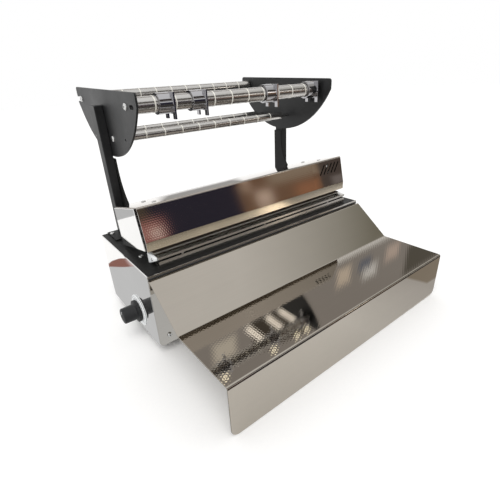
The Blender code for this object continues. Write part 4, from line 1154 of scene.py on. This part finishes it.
def floor():
    """A plain pale floor."""
    mesh = bpy.data.meshes.new("floor")
    reach = 6.0
    corners = lying(0.0, (-reach, -reach), (reach, -reach), (reach, reach), (-reach, reach))
    mesh.from_pydata(corners, [], [(0, 1, 2, 3)])
    made = bpy.data.objects.new("floor", mesh)
    s = Shading("floor_paper")
    fibres = s.noise(260.0, 4.0)
    tone = s.blend(s.span(fibres, 0.0, 1.0), (0.95, 0.95, 0.95), (0.965, 0.965, 0.96))
    mesh.materials.append(s.set(Base_Color=tone, Roughness=0.85, Specular_IOR_Level=0.2))
    bpy.context.scene.collection.objects.link(made)


def surroundings():
    """Pale world, dimmer for matt surfaces than for the camera and polish, a soft sun and the cards."""
    world = bpy.data.worlds.new("studio")
    bpy.context.scene.world = world
    world.use_nodes = True
    tree = world.node_tree
    background = tree.nodes["Background"]
    path = tree.nodes.new("ShaderNodeLightPath")
    seen = tree.nodes.new("ShaderNodeMath")
    seen.operation = "MAXIMUM"
    tree.links.new(path.outputs["Is Camera Ray"], seen.inputs[0])
    tree.links.new(path.outputs["Is Glossy Ray"], seen.inputs[1])
    strength = tree.nodes.new("ShaderNodeMapRange")
    strength.inputs["To Min"].default_value = WORLD_LIGHT
    strength.inputs["To Max"].default_value = 1.0
    tree.links.new(seen.outputs[0], strength.inputs["Value"])
    tree.links.new(strength.outputs["Result"], background.inputs["Strength"])
    background.inputs["Color"].default_value = (1.0, 1.0, 1.0, 1.0)
    sky = bpy.data.lights.new("soft_sky", "SUN")
    sky.energy = SUN_ENERGY
    sky.angle = SUN_ANGLE
    sky.color = SUN_COLOR
    made = bpy.data.objects.new("soft_sky", sky)
    made.rotation_mode = "QUATERNION"
    made.rotation_quaternion = Vector(SUN_AIM).to_track_quat("-Z", "Y")
    made.visible_glossy = False
    bpy.context.scene.collection.objects.link(made)
    cards()


def camera():
    """The photograph's camera."""
    azimuth, elevation, roll = (math.radians(a) for a in (CAMERA_AZIMUTH, CAMERA_ELEVATION, CAMERA_ROLL))
    back = Vector((
        math.sin(azimuth) * math.cos(elevation),
        -math.cos(azimuth) * math.cos(elevation),
        math.sin(elevation),
    ))
    right = (-back).cross(Vector((0, 0, 1))).normalized()
    up = right.cross(-back)
    turned_right = right * math.cos(roll) + up * math.sin(roll)
    turned_up = up * math.cos(roll) - right * math.sin(roll)
    data = bpy.data.cameras.new("camera")
    data.lens = LENS
    data.sensor_width = SENSOR
    data.clip_start = 0.01
    made = bpy.data.objects.new("camera", data)
    turn = Matrix((turned_right, turned_up, back)).transposed()
    made.matrix_world = Matrix.Translation(CAMERA_PLACE) @ turn.to_4x4()
    bpy.context.scene.collection.objects.link(made)
    bpy.context.scene.camera = made
    bpy.context.scene.view_settings.view_transform = "Standard"


base()
jaw()
arm_cover()
arm_details()
hinge()
stand()
stops()
timer()
inside()
floor()
surroundings()
camera()
